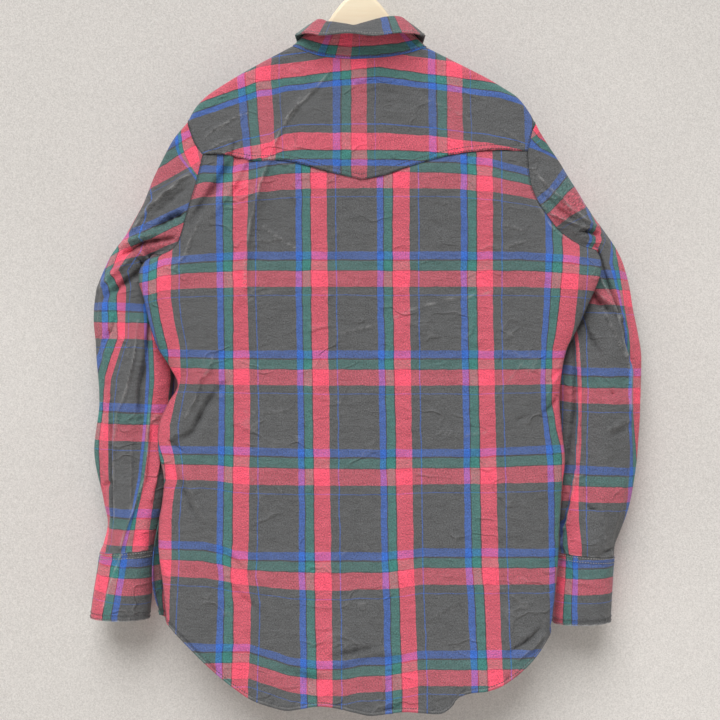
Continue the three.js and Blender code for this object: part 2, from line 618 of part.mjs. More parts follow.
// Collar leaf folded out from the top of the stand, pointed at the front
// Turn from the middle of the back (0) to the front (1), reach outward, drop below the stand's top
const LEAF = [[0, 29, 13], [0.25, 29, 16], [0.45, 30, 17], [0.56, 32, 20], [0.68, 29, 38],
  [0.92, 20, 66], [1, 18, 60]];
const LEAF_FOLD = [[-0.4, 0.7], [0.3, 3], [2.8, 4.6], [6.5, 3.6]];
const LEAF_FALL = [0.4, 0.7, 1];
function leafSize(turn) {
  const k = Math.max(1, LEAF.findIndex((row) => row[0] >= turn));
  const t = (turn - LEAF[k - 1][0]) / (LEAF[k][0] - LEAF[k - 1][0]);
  return { reach: mix(LEAF[k - 1][1], LEAF[k][1], t), drop: mix(LEAF[k - 1][2], LEAF[k][2], t) };
}
const LEAF_ROWS = LEAF_FOLD.length + LEAF_FALL.length;
const leafGrid = Array.from({ length: LEAF_ROWS }, (_, r) => even(STAND_COLS - 2).map((__, j) => {
  const i = j + 1;
  const out = ringOut(neckRing[i]);
  const up = unit(add(standHigh[i], standLow[i], -1));
  const { reach, drop } = leafSize(Math.abs((2 * i) / STAND_COLS - 1));
  const fold = ([u, v]) => add(add(standHigh[i], out, u), up, v);
  if (r < LEAF_FOLD.length) return fold(LEAF_FOLD[r]);
  const near = fold(LEAF_FOLD[LEAF_FOLD.length - 1]);
  const far = add(add(standHigh[i], out, reach), [0, 0, -drop]);
  const t = LEAF_FALL[r - LEAF_FOLD.length];
  return [mix(near[0], far[0], t), mix(near[1], far[1], t), mix(near[2], far[2], t ** 1.15)];
}));
const leafFacing = (grid, r, c) => add(ringOut(grid[r][c]), [0, 0, 0.5]);
piece('collar_leaf', wall(leafGrid, COLLAR_PLY, leafFacing, () => []), '#4d4c4c', 0.92, 0);

// Wooden hanger with an arched neck, arms under both shoulders
const armTop = (xs) => xs.map((x) => [x,
  ridge(x) - ARM_CLEAR - ARM_DROOP * smooth((Math.abs(x) - 150) / 40)]);
const HANGER_UNDER = [[-150, -215], [-95, -187], [-40, -170], [0, -166], [40, -170], [95, -187],
  [150, -213]];
const rightTop = armTop([-92, -110, -130, -150, -168, -182, -192]);
const leftTop = armTop([192, 182, 168, 150, 130, 110, 92]);
const NECK_RIGHT = [[0, -67], [-13, -70], [-24, -79], [-35, -93], [-45, -109], [-55, -125], [-70,
  -138]];
const NECK_LEFT = [[70, -138], [55, -125], [45, -109], [35, -93], [24, -79], [13, -70]];
const outline = [
  ...NECK_RIGHT, ...rightTop, [-199, -211], [-200, -219], [-193, -226], [-180, -225],
  ...HANGER_UNDER, [180, -224], [193, -226], [200, -220], [199, -212], ...leftTop, ...NECK_LEFT,
];
const hangerShape = new THREE.Shape(outline.map(([x, z]) => new THREE.Vector2(x, z)));
const hangerGeometry = new THREE.ExtrudeGeometry(hangerShape, {
  depth: ARM_THICK - 2 * ARM_BEVEL,
  bevelEnabled: true,
  bevelThickness: ARM_BEVEL,
  bevelSize: ARM_BEVEL,
  bevelOffset: -ARM_BEVEL,
  bevelSegments: 3,
  curveSegments: 4,
});
hangerGeometry.translate(0, 0, -(ARM_THICK - 2 * ARM_BEVEL) / 2);
hangerGeometry.rotateX(Math.PI / 2);
piece('hanger_body', hangerGeometry, '#e8d3b0', 0.5, 0);

// Wire hook, the origin on the inside of its top
const hookCentre = -HOOK_RADIUS + WIRE_RADIUS;
const hookPath = new THREE.CatmullRomCurve3([
  new THREE.Vector3(0, 0, -66.4),
  new THREE.Vector3(0, 0, -56),
  new THREE.Vector3(2, 0, -46),
  new THREE.Vector3(10, 0, -38),
  ...even(7).map((f) => {
    const angle = mix(-0.7, Math.PI * 1.03, f);
    return new THREE.Vector3(HOOK_RADIUS * Math.cos(angle), 0, hookCentre
      + HOOK_RADIUS * Math.sin(angle));
  }),
]);
const wire = new THREE.Shape();
wire.absarc(0, 0, WIRE_RADIUS, 0, Math.PI * 2, false);
const hookGeometry = new THREE.ExtrudeGeometry(wire, { steps: 40, curveSegments: 5,
  bevelEnabled: false, extrudePath: hookPath });
piece('hanger_hook', hookGeometry, '#c9c9c6', 0.3, 1);

// Pearl snaps as small domes seated on the cloth
const snapProfile = [[0, 0], [SNAP_RADIUS, 0], [SNAP_RADIUS, 0.9], [SNAP_RADIUS * 0.8, 2.2], [0,
  SNAP_HEIGHT]];
function snap(name, x, y, z) {
  const dome = new THREE.LatheGeometry(snapProfile.map(([r, h]) => new THREE.Vector2(r, h)), 12);
  dome.rotateX(Math.PI);
  const mesh = piece(name, dome, '#e9e6df', 0.25, 0);
  mesh.position.set(x, y - SEAM, z);
}
even(SNAP_COUNT - 1).forEach((f, i) => {
  const z = SNAP_TOP - SNAP_STEP * i;
  const y = depth(-1, 0, z, 1e4) - SEAM - BAND_PLY - 0.3;
  snap(`snap_front_${i + 1}`, 0, y, z);
});

const standFront = [0, 1, 2].map((k) => (standGrid[1][0][k] + standGrid[2][0][k]
  + standGrid[1][1][k] + standGrid[2][1][k]) / 4);
snap('snap_collar', standFront[0], standFront[1] - 1.4, standFront[2]);
[['left', cuffLeft], ['right', cuffRight]].forEach(([name, cuff]) => {
  const low = (3 * RING) / 4;
  [0.28, 0.72].forEach((t, i) => {
    const p = [0, 1, 2].map((k) => mix(cuff[0][low][k], cuff[2][low][k], t));
    snap(`snap_cuff_${name}_${i + 1}`, p[0], p[1] - 0.2, p[2]);
  });
});

export default group;
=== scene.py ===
"""Western snap shirt in a red, blue and green check, hung on a wooden hanger and seen from the back."""
import math

import bmesh
import bpy
import numpy as np
from bpy.props import FloatProperty, FloatVectorProperty, PointerProperty
from bpy.types import Operator, Panel, PropertyGroup
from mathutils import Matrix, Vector


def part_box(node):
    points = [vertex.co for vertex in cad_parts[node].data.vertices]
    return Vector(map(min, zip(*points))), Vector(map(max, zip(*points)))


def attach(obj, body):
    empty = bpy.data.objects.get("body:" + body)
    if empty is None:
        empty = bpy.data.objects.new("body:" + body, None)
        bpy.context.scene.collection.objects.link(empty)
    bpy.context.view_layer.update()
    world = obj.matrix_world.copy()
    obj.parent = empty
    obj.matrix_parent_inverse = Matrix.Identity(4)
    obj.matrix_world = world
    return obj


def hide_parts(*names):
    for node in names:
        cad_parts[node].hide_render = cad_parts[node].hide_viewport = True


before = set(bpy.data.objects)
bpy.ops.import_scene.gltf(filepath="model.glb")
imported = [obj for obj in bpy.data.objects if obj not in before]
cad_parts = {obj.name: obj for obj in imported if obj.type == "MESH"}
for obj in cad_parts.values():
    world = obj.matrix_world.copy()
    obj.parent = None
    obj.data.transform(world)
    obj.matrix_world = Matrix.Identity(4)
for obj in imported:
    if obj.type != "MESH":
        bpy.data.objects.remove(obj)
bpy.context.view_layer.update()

bl_info = {
    "name": "Western snap shirt",
    "version": (1, 0, 0),
    "blender": (4, 5, 0),
    "location": "3D View > Sidebar > Shirt",
    "description": "Builds a checked western snap shirt on a wooden hanger",
    "category": "Object",
}

# Lengths in these tables and in the shape functions are millimetres, and MM turns them into metres.
# +X is the wearer's left, +Y the shirt's back, +Z up, and the origin is inside the top of the hook.
MM = 0.001

# Wall of each cloth and the gaps between pieces
CLOTH = 1.2
YOKE_PLY = 1.8
CUFF_PLY = 2.2
COLLAR_PLY = 1.8
BAND_PLY = 1.6
SEAM = 0.3
SLEEVE_SEAM = 0.45

# Depth of the hung shirt
RIDGE_ROUND = 13
SHOULDER_HALF = 13
BACK_HALF = 28
FRONT_HALF = 26
NECK_BULGE = 8
SIDE_SEAM_LIFT = 10
UNDERARM_LEFT = -406
UNDERARM_RIGHT = -399
ARMHOLE_FADE = 110

# Front closure
BAND_HALF = 17
LAP_HALF = 12
UNDERLAP_DROP = 1.7
SNAP_COUNT = 7

# Outlines, x and z
RIDGE_LEFT = [(89, -136), (127, -156), (164, -177), (183, -189), (200, -201), (213, -215), (223, -233)]
RIDGE_RIGHT = [(-87, -138), (-127, -158), (-166, -178), (-184, -189), (-201, -200), (-214, -215), (-226, -235)]
ARMHOLE_LEFT = {
    "yoke": [(223, -233), (219, -246), (213, -262), (206, -273), (202, -278)],
    "body": [(202, -278), (206, -296), (211, -317), (218, -339), (224, -359), (229, -376), (235, -390),
             (244, -399), (260, -406)],
}
ARMHOLE_RIGHT = {
    "yoke": [(-226, -235), (-220, -248), (-217, -262), (-215, -269), (-214, -273)],
    "body": [(-214, -273), (-215, -294), (-219, -320), (-228, -339), (-240, -356), (-251, -370),
             (-264, -381), (-283, -392), (-305, -399)],
}
SIDE_LEFT = [
    (260, -406), (276, -411), (284, -422), (285, -440), (278, -464), (270, -499), (260, -526), (245, -550),
    (235, -573), (247, -595), (259, -623), (260, -656), (253, -692), (255, -723), (259, -745),
]
TAIL_LEFT_BACK = [(259, -745), (260, -782), (255, -823), (249, -877)]
TAIL_LEFT_FRONT = [(259, -745), (265, -775), (268, -805), (267, -835), (258, -868)]
SIDE_RIGHT = [
    (-305, -399), (-310, -410), (-310, -425), (-304, -444), (-292, -471), (-278, -502), (-265, -528),
    (-259, -556), (-256, -592), (-259, -631), (-263, -669), (-260, -697), (-258, -726), (-256, -753),
    (-255, -778), (-253, -813), (-249, -852), (-244, -890),
]
BACK_HEM = [
    (249, -877), (223, -903), (195, -931), (161, -960), (138, -975), (110, -984), (94, -987), (74, -984),
    (53, -981), (30, -984), (6, -990), (-11, -994), (-30, -993), (-55, -990), (-79, -991), (-103, -991),
    (-114, -984), (-125, -970), (-141, -964), (-160, -962), (-178, -956), (-200, -942), (-223, -920),
    (-244, -890),
]
FRONT_HEM_LEFT = [(258, -868), (226, -896), (190, -922), (150, -946), (105, -964), (55, -974), (-12, -978)]
FRONT_HEM_RIGHT = [(12, -978), (-55, -974), (-105, -966), (-155, -954), (-195, -936), (-222, -912), (-244, -890)]
BACK_NECK = [(89, -136), (78, -142), (55, -151), (33, -155), (11, -157), (-12, -156), (-38, -153), (-61, -148),
             (-76, -143), (-87, -138)]
FRONT_NECK_LEFT = [(89, -136), (85, -160), (71, -183), (48, -199), (17, -208), (-12, -209)]
FRONT_NECK_RIGHT = [(12, -209), (-17, -208), (-48, -199), (-70, -183), (-84, -160), (-87, -138)]
YOKE_SEAM_LEFT = [(202, -278), (173, -278), (141, -286), (120, -287), (101, -286), (75, -291), (44, -300),
                  (-1, -311)]
YOKE_SEAM_RIGHT = [(-1, -311), (-30, -305), (-66, -293), (-121, -278), (-174, -272), (-202, -273), (-214, -273)]
FRONT_YOKE_LEFT = [(202, -278), (170, -282), (135, -297), (108, -316), (80, -300), (45, -282), (17, -272),
                   (-12, -268)]
FRONT_YOKE_RIGHT = [(12, -268), (-17, -272), (-45, -282), (-80, -300), (-108, -316), (-138, -296), (-176, -279),
                    (-214, -273)]

# Sleeve sections: outer edge x and z, inner edge x and z, centre y, half depth
SLEEVE_LEFT = [
    (223, -233, 260, -406, 0, 20), (244, -260, 266, -404, -4, 21), (266, -300, 272, -404, -10, 22),
    (287, -345, 276, -409, -18, 23), (309, -381, 276, -421, -25, 24), (330, -409, 274, -440, -29, 24),
    (343, -442, 268, -462, -29, 25), (349, -482, 260, -490, -27, 26), (343, -521, 251, -521, -25, 27),
    (339, -560, 246, -556, -22, 28), (338, -596, 247, -595, -20, 28), (342, -632, 249, -631, -20, 28),
    (344, -665, 252, -663, -20, 28), (341, -694, 251, -692, -20, 29), (335, -726, 256, -723, -20, 30),
    (330, -753, 261, -750, -20, 31), (335, -778, 266, -773, -20, 32), (340, -791, 267, -786, -20, 32),
]
SLEEVE_RIGHT = [
    (-226, -235, -305, -399, 0, 20), (-243, -260, -309, -397, -4, 21), (-261, -287, -310, -399, -10, 22),
    (-280, -318, -308, -406, -18, 23), (-300, -349, -305, -419, -25, 24), (-319, -373, -300, -436, -29, 24),
    (-337, -399, -294, -456, -29, 25), (-348, -433, -284, -480, -27, 26), (-356, -475, -272, -508, -25, 27),
    (-361, -521, -260, -536, -22, 28), (-362, -566, -253, -571, -21, 28), (-363, -606, -253, -606, -20, 28),
    (-360, -652, -255, -650, -20, 28), (-354, -697, -257, -695, -20, 29), (-346, -734, -258, -731, -20, 30),
    (-338, -762, -259, -758, -20, 31), (-332, -782, -259, -777, -20, 32), (-331, -796, -258, -791, -20, 32),
]
CUFF_LEFT = (353, -876, 275, -877, -20, 33)
CUFF_RIGHT = (-327, -881, -251, -883, -20, 33)

# Yarns of the check along its repeat, as shares of the repeat: name and width
WARP_REPEAT = 105.4
WARP_YARNS = [("blue", 6), ("dark", 1), ("green", 8), ("dark", 1), ("red", 16), ("ground", 8.3), ("blue", 0.8),
              ("ground", 40.9)]
WEFT_REPEAT = 125.9
WEFT_YARNS = [("blue", 7.5), ("dark", 1.5), ("green", 9), ("dark", 1), ("red", 15.5), ("ground", 8.3),
              ("blue", 0.7), ("ground", 54.5)]
WARP_SHARE = 0.59

BACK_WARP = [
    (-316.1, [(291, -206), (278, -395), (278, -464), (274, -487), (265, -524), (264, -537), (265, -560),
               (276, -593), (281, -624), (279, -643), (270, -669), (268, -695), (274, -708), (279, -746),
               (278, -798), (274, -823), (272, -849), (268, -875)]),
    (-295.5, [(270, -206), (258, -395), (258, -464), (254, -487), (245, -524), (244, -537), (245, -560),
               (255, -593), (260, -624), (259, -643), (250, -669), (247, -695), (254, -708), (259, -746),
               (258, -798), (254, -823), (251, -849), (247, -875)]),
    (-275, [(251, -206), (240, -395), (240, -464), (237, -487), (229, -524), (229, -537), (228, -560),
               (236, -593), (242, -624), (242, -643), (236, -669), (233, -695), (237, -708), (240, -746),
               (240, -798), (242, -823), (244, -849), (245, -875)]),
    (-210.7, [(182, -271), (183, -335), (182, -412), (179, -592), (182, -798), (179, -817), (183, -900)]),
    (-190.2, [(161, -271), (161, -335), (160, -451), (160, -592), (161, -772), (164, -817), (160, -849),
               (160, -900), (163, -952)]),
    (-169.6, [(141, -271), (142, -335), (143, -451), (139, -592), (141, -772), (143, -817), (138, -849),
               (139, -900), (142, -952)]),
    (-84.8, [(62, -284), (61, -464), (57, -720), (56, -849), (53, -978)]),
    (-64.2, [(42, -284), (40, -464), (37, -720), (35, -849), (34, -978)]),
    (20.6, [(-43, -284), (-43, -464), (-47, -656), (-49, -798), (-52, -849), (-55, -965)]),
    (41.1, [(-64, -284), (-64, -464), (-67, -656), (-69, -798), (-71, -849), (-75, -965)]),
    (125.9, [(-150, -284), (-150, -464), (-154, -656), (-156, -798), (-160, -849), (-164, -952)]),
    (146.5, [(-170, -284), (-170, -464), (-174, -656), (-177, -798), (-179, -849), (-183, -952)]),
    (210.7, [(-236, -284), (-238, -399), (-235, -464), (-232, -515), (-231, -560), (-232, -605), (-236, -631),
              (-240, -676), (-241, -720), (-242, -798), (-244, -875)]),
    (231.3, [(-259, -284), (-261, -399), (-256, -464), (-251, -502), (-246, -528), (-246, -592), (-251, -624),
              (-259, -656), (-261, -720), (-263, -875)]),
    (251.9, [(-281, -284), (-283, -399), (-278, -464), (-274, -502), (-267, -528), (-261, -592), (-264, -643),
              (-269, -695), (-274, -875)]),
]
# The cross stripes of the back: place in the repeat, then x and z along the stripe
BACK_WEFT = [
    (-251.9, [(219, -299), (200, -293), (161, -294), (136, -289), (103, -282), (78, -280), (-25, -278),
               (-121, -280), (-166, -285), (-202, -294), (-256, -307)]),
    (-125.9, [(282, -422), (270, -420), (251, -412), (219, -408), (148, -404), (-25, -404), (-202, -404),
              (-256, -407), (-308, -412)]),
    (0, [(245, -528), (181, -530), (-25, -530), (-256, -530)]),
    (125.9, [(247, -652), (181, -652), (78, -655), (-25, -656), (-154, -655), (-232, -651), (-269, -651)]),
    (251.9, [(242, -773), (200, -773), (178, -778), (160, -785), (142, -787), (-25, -787), (-51, -785),
              (-76, -782), (-154, -782), (-244, -783)]),
    (377.8, [(245, -900), (200, -904), (142, -904), (116, -912), (91, -920), (52, -925), (20, -925),
              (1, -921), (-31, -921), (-57, -917), (-76, -913), (-141, -912), (-231, -911)]),
]
# The yoke is cut across: weft stripes run down it and warp stripes run along it
YOKE_DOWN = [
    (-251.9, [(281, -181), (270, -309)]), (-125.9, [(157, -181), (151, -245), (147, -277), (145, -335)]),
    (0, [(34, -155), (34, -296)]), (125.9, [(-88, -155), (-89, -284)]), (251.9, [(-211, -181), (-213, -296)]),
]
YOKE_ALONG = [
    (146.5, [(232, -196), (129, -163), (-25, -145), (-179, -163), (-256, -186)]),
    (125.9, [(232, -217), (129, -181), (-25, -165), (-179, -183), (-256, -206)]),
    (41.1, [(232, -294), (186, -280), (161, -271), (142, -266), (116, -262), (97, -251), (78, -249),
             (-25, -250), (-89, -253), (-128, -258), (-166, -262), (-200, -269), (-244, -284)]),
    (20.6, [(232, -314), (186, -298), (161, -287), (142, -284), (116, -280), (97, -272), (78, -271),
             (-25, -271), (-89, -273), (-128, -278), (-166, -282), (-200, -290), (-244, -304)]),
]
# Sleeves: stripes down them, then across them
LEFT_DOWN = [
    (-84.8, [(312, -239), (296, -335), (313, -376), (312, -399), (322, -425), (314, -446), (312, -512),
              (330, -564), (333, -605), (337, -643), (339, -695), (344, -746), (348, -798)]),
    (-64.2, [(294, -239), (283, -335), (300, -376), (296, -399), (312, -425), (303, -446), (304, -512),
              (322, -564), (326, -605), (326, -746), (328, -798)]),
    (0, [(237, -239), (236, -267), (231, -281), (219, -296), (201, -322), (193, -353), (196, -386),
            (237, -417), (273, -451), (281, -469), (276, -566), (277, -605), (281, -643), (286, -695),
            (296, -746), (306, -782), (309, -798)]),
    (20.6, [(231, -239), (226, -272), (217, -293), (199, -316), (178, -353), (181, -386), (222, -417),
             (260, -451), (270, -469), (265, -566), (269, -605), (272, -643), (278, -695), (288, -746),
             (292, -782), (292, -798)]),
    (41.1, [(217, -239), (209, -267), (204, -286), (181, -309), (160, -353), (163, -386), (201, -417),
             (240, -451), (250, -469), (247, -566), (251, -605), (258, -643), (263, -695), (270, -746),
             (273, -782), (273, -798)]),
]
LEFT_ACROSS = [
    (0, [(348, -312), (251, -263), (223, -248), (206, -239)]),
    (24.4, [(348, -338), (250, -289), (219, -271), (206, -264)]),
    (44.3, [(348, -358), (267, -318), (219, -294), (206, -287)]),
    (125.9, [(348, -394), (291, -371), (219, -340), (200, -332)]),
    (150.3, [(348, -415), (309, -399), (270, -386), (227, -366)]),
    (251.9, [(348, -466), (245, -470)]), (276.3, [(348, -493), (245, -496)]),
    (377.8, [(348, -597), (245, -600)]), (402.2, [(348, -624), (245, -627)]),
    (503.7, [(348, -733), (245, -735)]), (528.1, [(348, -760), (245, -762)]),
]
RIGHT_DOWN = [
    (-84.8, [(-166, -232), (-166, -284), (-179, -339), (-205, -367), (-251, -399), (-246, -464), (-241, -592),
              (-231, -798)]),
    (-33.4, [(-187, -232), (-195, -284), (-210, -335), (-251, -376), (-273, -415), (-270, -464), (-276, -515),
              (-277, -618), (-274, -682), (-264, -727), (-256, -753), (-254, -798)]),
    (-1.3, [(-205, -232), (-213, -268), (-233, -273), (-264, -284), (-295, -317), (-295, -386), (-282, -415),
             (-272, -464), (-277, -515), (-278, -618), (-277, -682), (-267, -727), (-260, -753), (-260, -798)]),
    (20.6, [(-218, -240), (-231, -255), (-256, -266), (-287, -291), (-305, -335), (-305, -386), (-290, -415),
             (-273, -464), (-278, -502), (-281, -618), (-278, -656), (-274, -708), (-270, -727), (-267, -753),
             (-270, -785), (-270, -798)]),
    (41.1, [(-231, -232), (-251, -250), (-282, -268), (-308, -296), (-313, -348), (-313, -386), (-297, -415),
             (-277, -464), (-282, -502), (-285, -566), (-285, -643), (-281, -708), (-282, -746), (-286, -785),
             (-286, -798)]),
    (51.4, [(-241, -227), (-264, -248), (-297, -268), (-318, -309), (-318, -386), (-305, -415), (-285, -464),
             (-292, -502), (-294, -592), (-292, -656), (-291, -746), (-292, -798)]),
    (105.4, [(-308, -206), (-331, -309), (-328, -386), (-323, -415), (-333, -451), (-345, -502), (-348, -553),
             (-349, -592), (-351, -656), (-349, -720), (-341, -798)]),
    (125.9, [(-333, -206), (-349, -309), (-336, -386), (-336, -415), (-342, -464), (-349, -502), (-351, -553),
             (-353, -592), (-359, -656), (-366, -720), (-362, -798)]),
]
RIGHT_ACROSS = [
    (0, [(-218, -340), (-241, -322), (-268, -286), (-308, -245)]),
    (44.3, [(-218, -399), (-267, -359), (-291, -345), (-359, -309)]),
    (125.9, [(-244, -415), (-308, -425), (-359, -428)]),
    (251.9, [(-256, -547), (-286, -552), (-359, -553)]), (276.3, [(-256, -574), (-286, -578), (-359, -579)]),
    (377.8, [(-256, -677), (-359, -682)]), (402.2, [(-256, -704), (-359, -708)]),
    (490.9, [(-256, -792), (-359, -794)]),
]
CUFF_LEFT_DOWN = [(0, [(301, -798), (313, -870)]), (41.1, [(342, -798), (354, -870)])]
CUFF_RIGHT_DOWN = [(0, [(-278, -798), (-277, -870)]), (41.1, [(-251, -798), (-244, -870)])]
CUFF_ACROSS = [(0, [(348, -794), (303, -798), (258, -798), (-237, -800), (-282, -800), (-359, -798)]),
               (44.3, [(348, -839), (303, -845), (258, -846), (-237, -844), (-282, -844), (-359, -843)])]

# Creases: half width, height above the cloth, paleness, then x and z along the crease
BACK_CREASES = [
    (4.5, 3.2, 0.9, [(55, -191), (91, -226), (107, -258), (127, -316), (139, -361), (146, -406), (147, -451)]),
    (14, 3.0, 0.0, [(78, -219), (116, -284), (139, -374), (155, -464)]),
    (3, 2.0, 0.8, [(217, -386), (223, -406), (235, -420), (240, -433)]),
    (3, 1.6, 0.5, [(204, -358), (213, -380), (222, -399)]),
    (4, 3.5, 0.5, [(186, -528), (192, -552), (205, -569), (211, -593), (223, -614)]),
    (6, -4.5, 0.0, [(175, -571), (191, -589), (202, -607), (213, -631), (236, -647)]),
    (3, 2.6, 0.4, [(228, -631), (242, -640), (247, -647)]),
    (2.5, -3.0, 0.0, [(247, -641), (237, -649), (224, -659)]),
    (3, -3.2, 0.0, [(238, -679), (228, -700), (218, -724), (209, -745)]),
    (5, 2.4, 0.3, [(232, -672), (219, -700), (209, -724), (199, -745)]),
    (2, 0.9, 0.6, [(30, -506), (6, -502), (-19, -496)]),
    (2, 0.8, 0.4, [(147, -607), (121, -607), (92, -605)]),
    (2, 0.8, 0.5, [(143, -465), (129, -457), (116, -453)]),
    (2.2, 1.2, 0.7, [(-43, -487), (-66, -476), (-101, -466), (-134, -460), (-164, -455)]),
    (2, 1.0, 0.5, [(-169, -589), (-184, -573), (-200, -552), (-206, -544), (-214, -555), (-231, -552)]),
    (2.5, -1.6, 0.0, [(-195, -619), (-211, -613)]),
    (2.5, -1.6, 0.0, [(-62, -710), (-76, -703)]),
    (4.5, -4.0, 0.0, [(-232, -611), (-249, -593), (-259, -573)]),
    (4, -3.0, 0.0, [(-245, -562), (-259, -550), (-272, -515)]),
    (6, 3.2, 0.3, [(-237, -586), (-251, -566), (-264, -541), (-274, -512)]),
    (3, 2.6, 0.8, [(-222, -335), (-246, -372), (-264, -384), (-288, -394), (-305, -398)]),
    (5, -4.0, 0.0, [(-231, -330), (-256, -363), (-282, -381), (-305, -390)]),
    (8, -5.0, 0.0, [(155, -271), (168, -290), (181, -312), (200, -339), (217, -363)]),
    (6, 3.0, 0.3, [(139, -271), (150, -296), (165, -325), (188, -356)]),
    (2.2, 1.2, 0.6, [(123, -371), (103, -386), (83, -398)]),
    (2, 0.9, 0.4, [(136, -388), (119, -389), (101, -385)]),
    (2, 0.9, 0.4, [(39, -384), (24, -372)]),
    (2.5, -1.4, 0.0, [(-89, -362), (-97, -370), (-106, -370)]),
    (2.5, -1.2, 0.0, [(-89, -341), (-110, -345)]),
    (2.5, 1.2, 0.5, [(-182, -368), (-195, -371), (-205, -375)]),
    (2.5, 1.2, 0.5, [(-184, -398), (-197, -392), (-208, -389)]),
    (3, 1.2, 0.2, [(-30, -397), (-15, -407)]),
    (6, 2.6, 0.1, [(178, -773), (163, -787), (147, -801), (132, -817)]),
    (5, -2.8, 0.0, [(165, -828), (147, -845), (127, -863)]),
    (9, 3.6, 0.1, [(39, -931), (13, -920), (-15, -913), (-51, -916)]),
    (7, -4.4, 0.0, [(34, -918), (11, -913), (-19, -907)]),
    (9, -3.4, 0.0, [(91, -936), (65, -947), (39, -947)]),
    (3.5, -3.6, 0.0, [(-190, -913), (-205, -904), (-218, -895), (-228, -884)]),
    (4, 3.2, 0.4, [(-197, -924), (-218, -909), (-232, -895), (-238, -890)]),
    (3, -2.4, 0.0, [(-25, -988), (-40, -985), (-56, -979)]),
    (2, 0.9, 0.3, [(1, -440), (11, -451)]), (2, 0.9, 0.3, [(155, -453), (143, -464)]),
    (2.5, 1.2, 0.2, [(-89, -872), (-110, -857), (-130, -846)]),
    (2.5, -1.0, 0.0, [(-102, -859), (-110, -864)]), (3, -1.2, 0.0, [(78, -682), (39, -672), (-2, -682)]),
    (3, 1.1, 0.3, [(142, -682), (127, -720), (114, -746)]), (2.4, 0.9, 0.3, [(39, -798), (13, -782), (-10, -780)]),
    (2.4, 1.0, 0.4, [(-102, -631), (-130, -638), (-159, -633)]), (3, 1.3, 0.3, [(78, -566), (55, -587), (26, -595)]),
]
YOKE_CREASES = [
    (4.5, 3.2, 0.9, [(39, -171), (55, -191), (91, -226), (107, -258), (121, -299)]),
    (2.4, 1.3, 0.7, [(183, -246), (165, -232), (145, -224)]),
    (2.2, 1.2, 0.5, [(201, -258), (188, -245), (173, -237)]),
    (2.4, 1.2, 0.5, [(193, -271), (178, -262), (165, -258)]),
    (4, -3.2, 0.0, [(160, -260), (163, -273), (168, -284)]),
    (3.5, 2.0, 0.6, [(155, -268), (173, -276), (191, -281)]),
    (2.6, 1.2, 0.5, [(78, -206), (83, -222), (96, -240)]),
    (2.4, 1.0, 0.4, [(-76, -206), (-110, -217), (-138, -232)]),
    (2.6, 1.4, 0.4, [(-179, -242), (-200, -258), (-215, -273)]),
    (2.4, 1.0, 0.3, [(-102, -181), (-128, -196), (-161, -206)]),
    (2.4, -1.2, 0.0, [(11, -201), (-25, -196), (-64, -204)]),
]
LEFT_CREASES = [
    (4, 4.0, 0.9, [(211, -299), (229, -309), (247, -325), (270, -343), (292, -371)]),
    (6, -3.0, 0.0, [(222, -317), (245, -335), (270, -356)]),
    (5, -6.0, 0.0, [(222, -352), (242, -356), (260, -368)]),
    (4, -7.0, 0.0, [(306, -402), (283, -390), (258, -386), (242, -384)]),
    (5, 4.0, 0.5, [(312, -394), (288, -384), (268, -379)]),
    (4, 4.0, 0.5, [(287, -399), (276, -410), (258, -415)]),
    (3, -4.0, 0.0, [(288, -410), (276, -420), (268, -433)]),
    (6, -5.0, 0.0, [(333, -457), (312, -444), (296, -433), (282, -422)]),
    (6, 4.0, 0.5, [(340, -448), (319, -428), (299, -410)]),
    (3, -3.0, 0.0, [(332, -517), (324, -502), (317, -487)]),
    (5, -5.0, 0.0, [(270, -476), (274, -508), (279, -547), (285, -582), (283, -618)]),
    (3, 3.0, 0.8, [(288, -489), (292, -534), (301, -578), (310, -607), (318, -643), (319, -682), (317, -746)]),
    (3.5, 3.4, 0.9, [(270, -592), (277, -690), (287, -718), (304, -765), (308, -782)]),
    (3, -3.4, 0.0, [(324, -586), (324, -643), (323, -695), (321, -746), (324, -778)]),
    (4, 3.0, 0.2, [(260, -631), (263, -682), (270, -720)]),
    (3, 1.6, 0.4, [(295, -643), (295, -695), (296, -733)]),
    (4, -3.0, 0.0, [(335, -703), (330, -700), (322, -699)]),
]
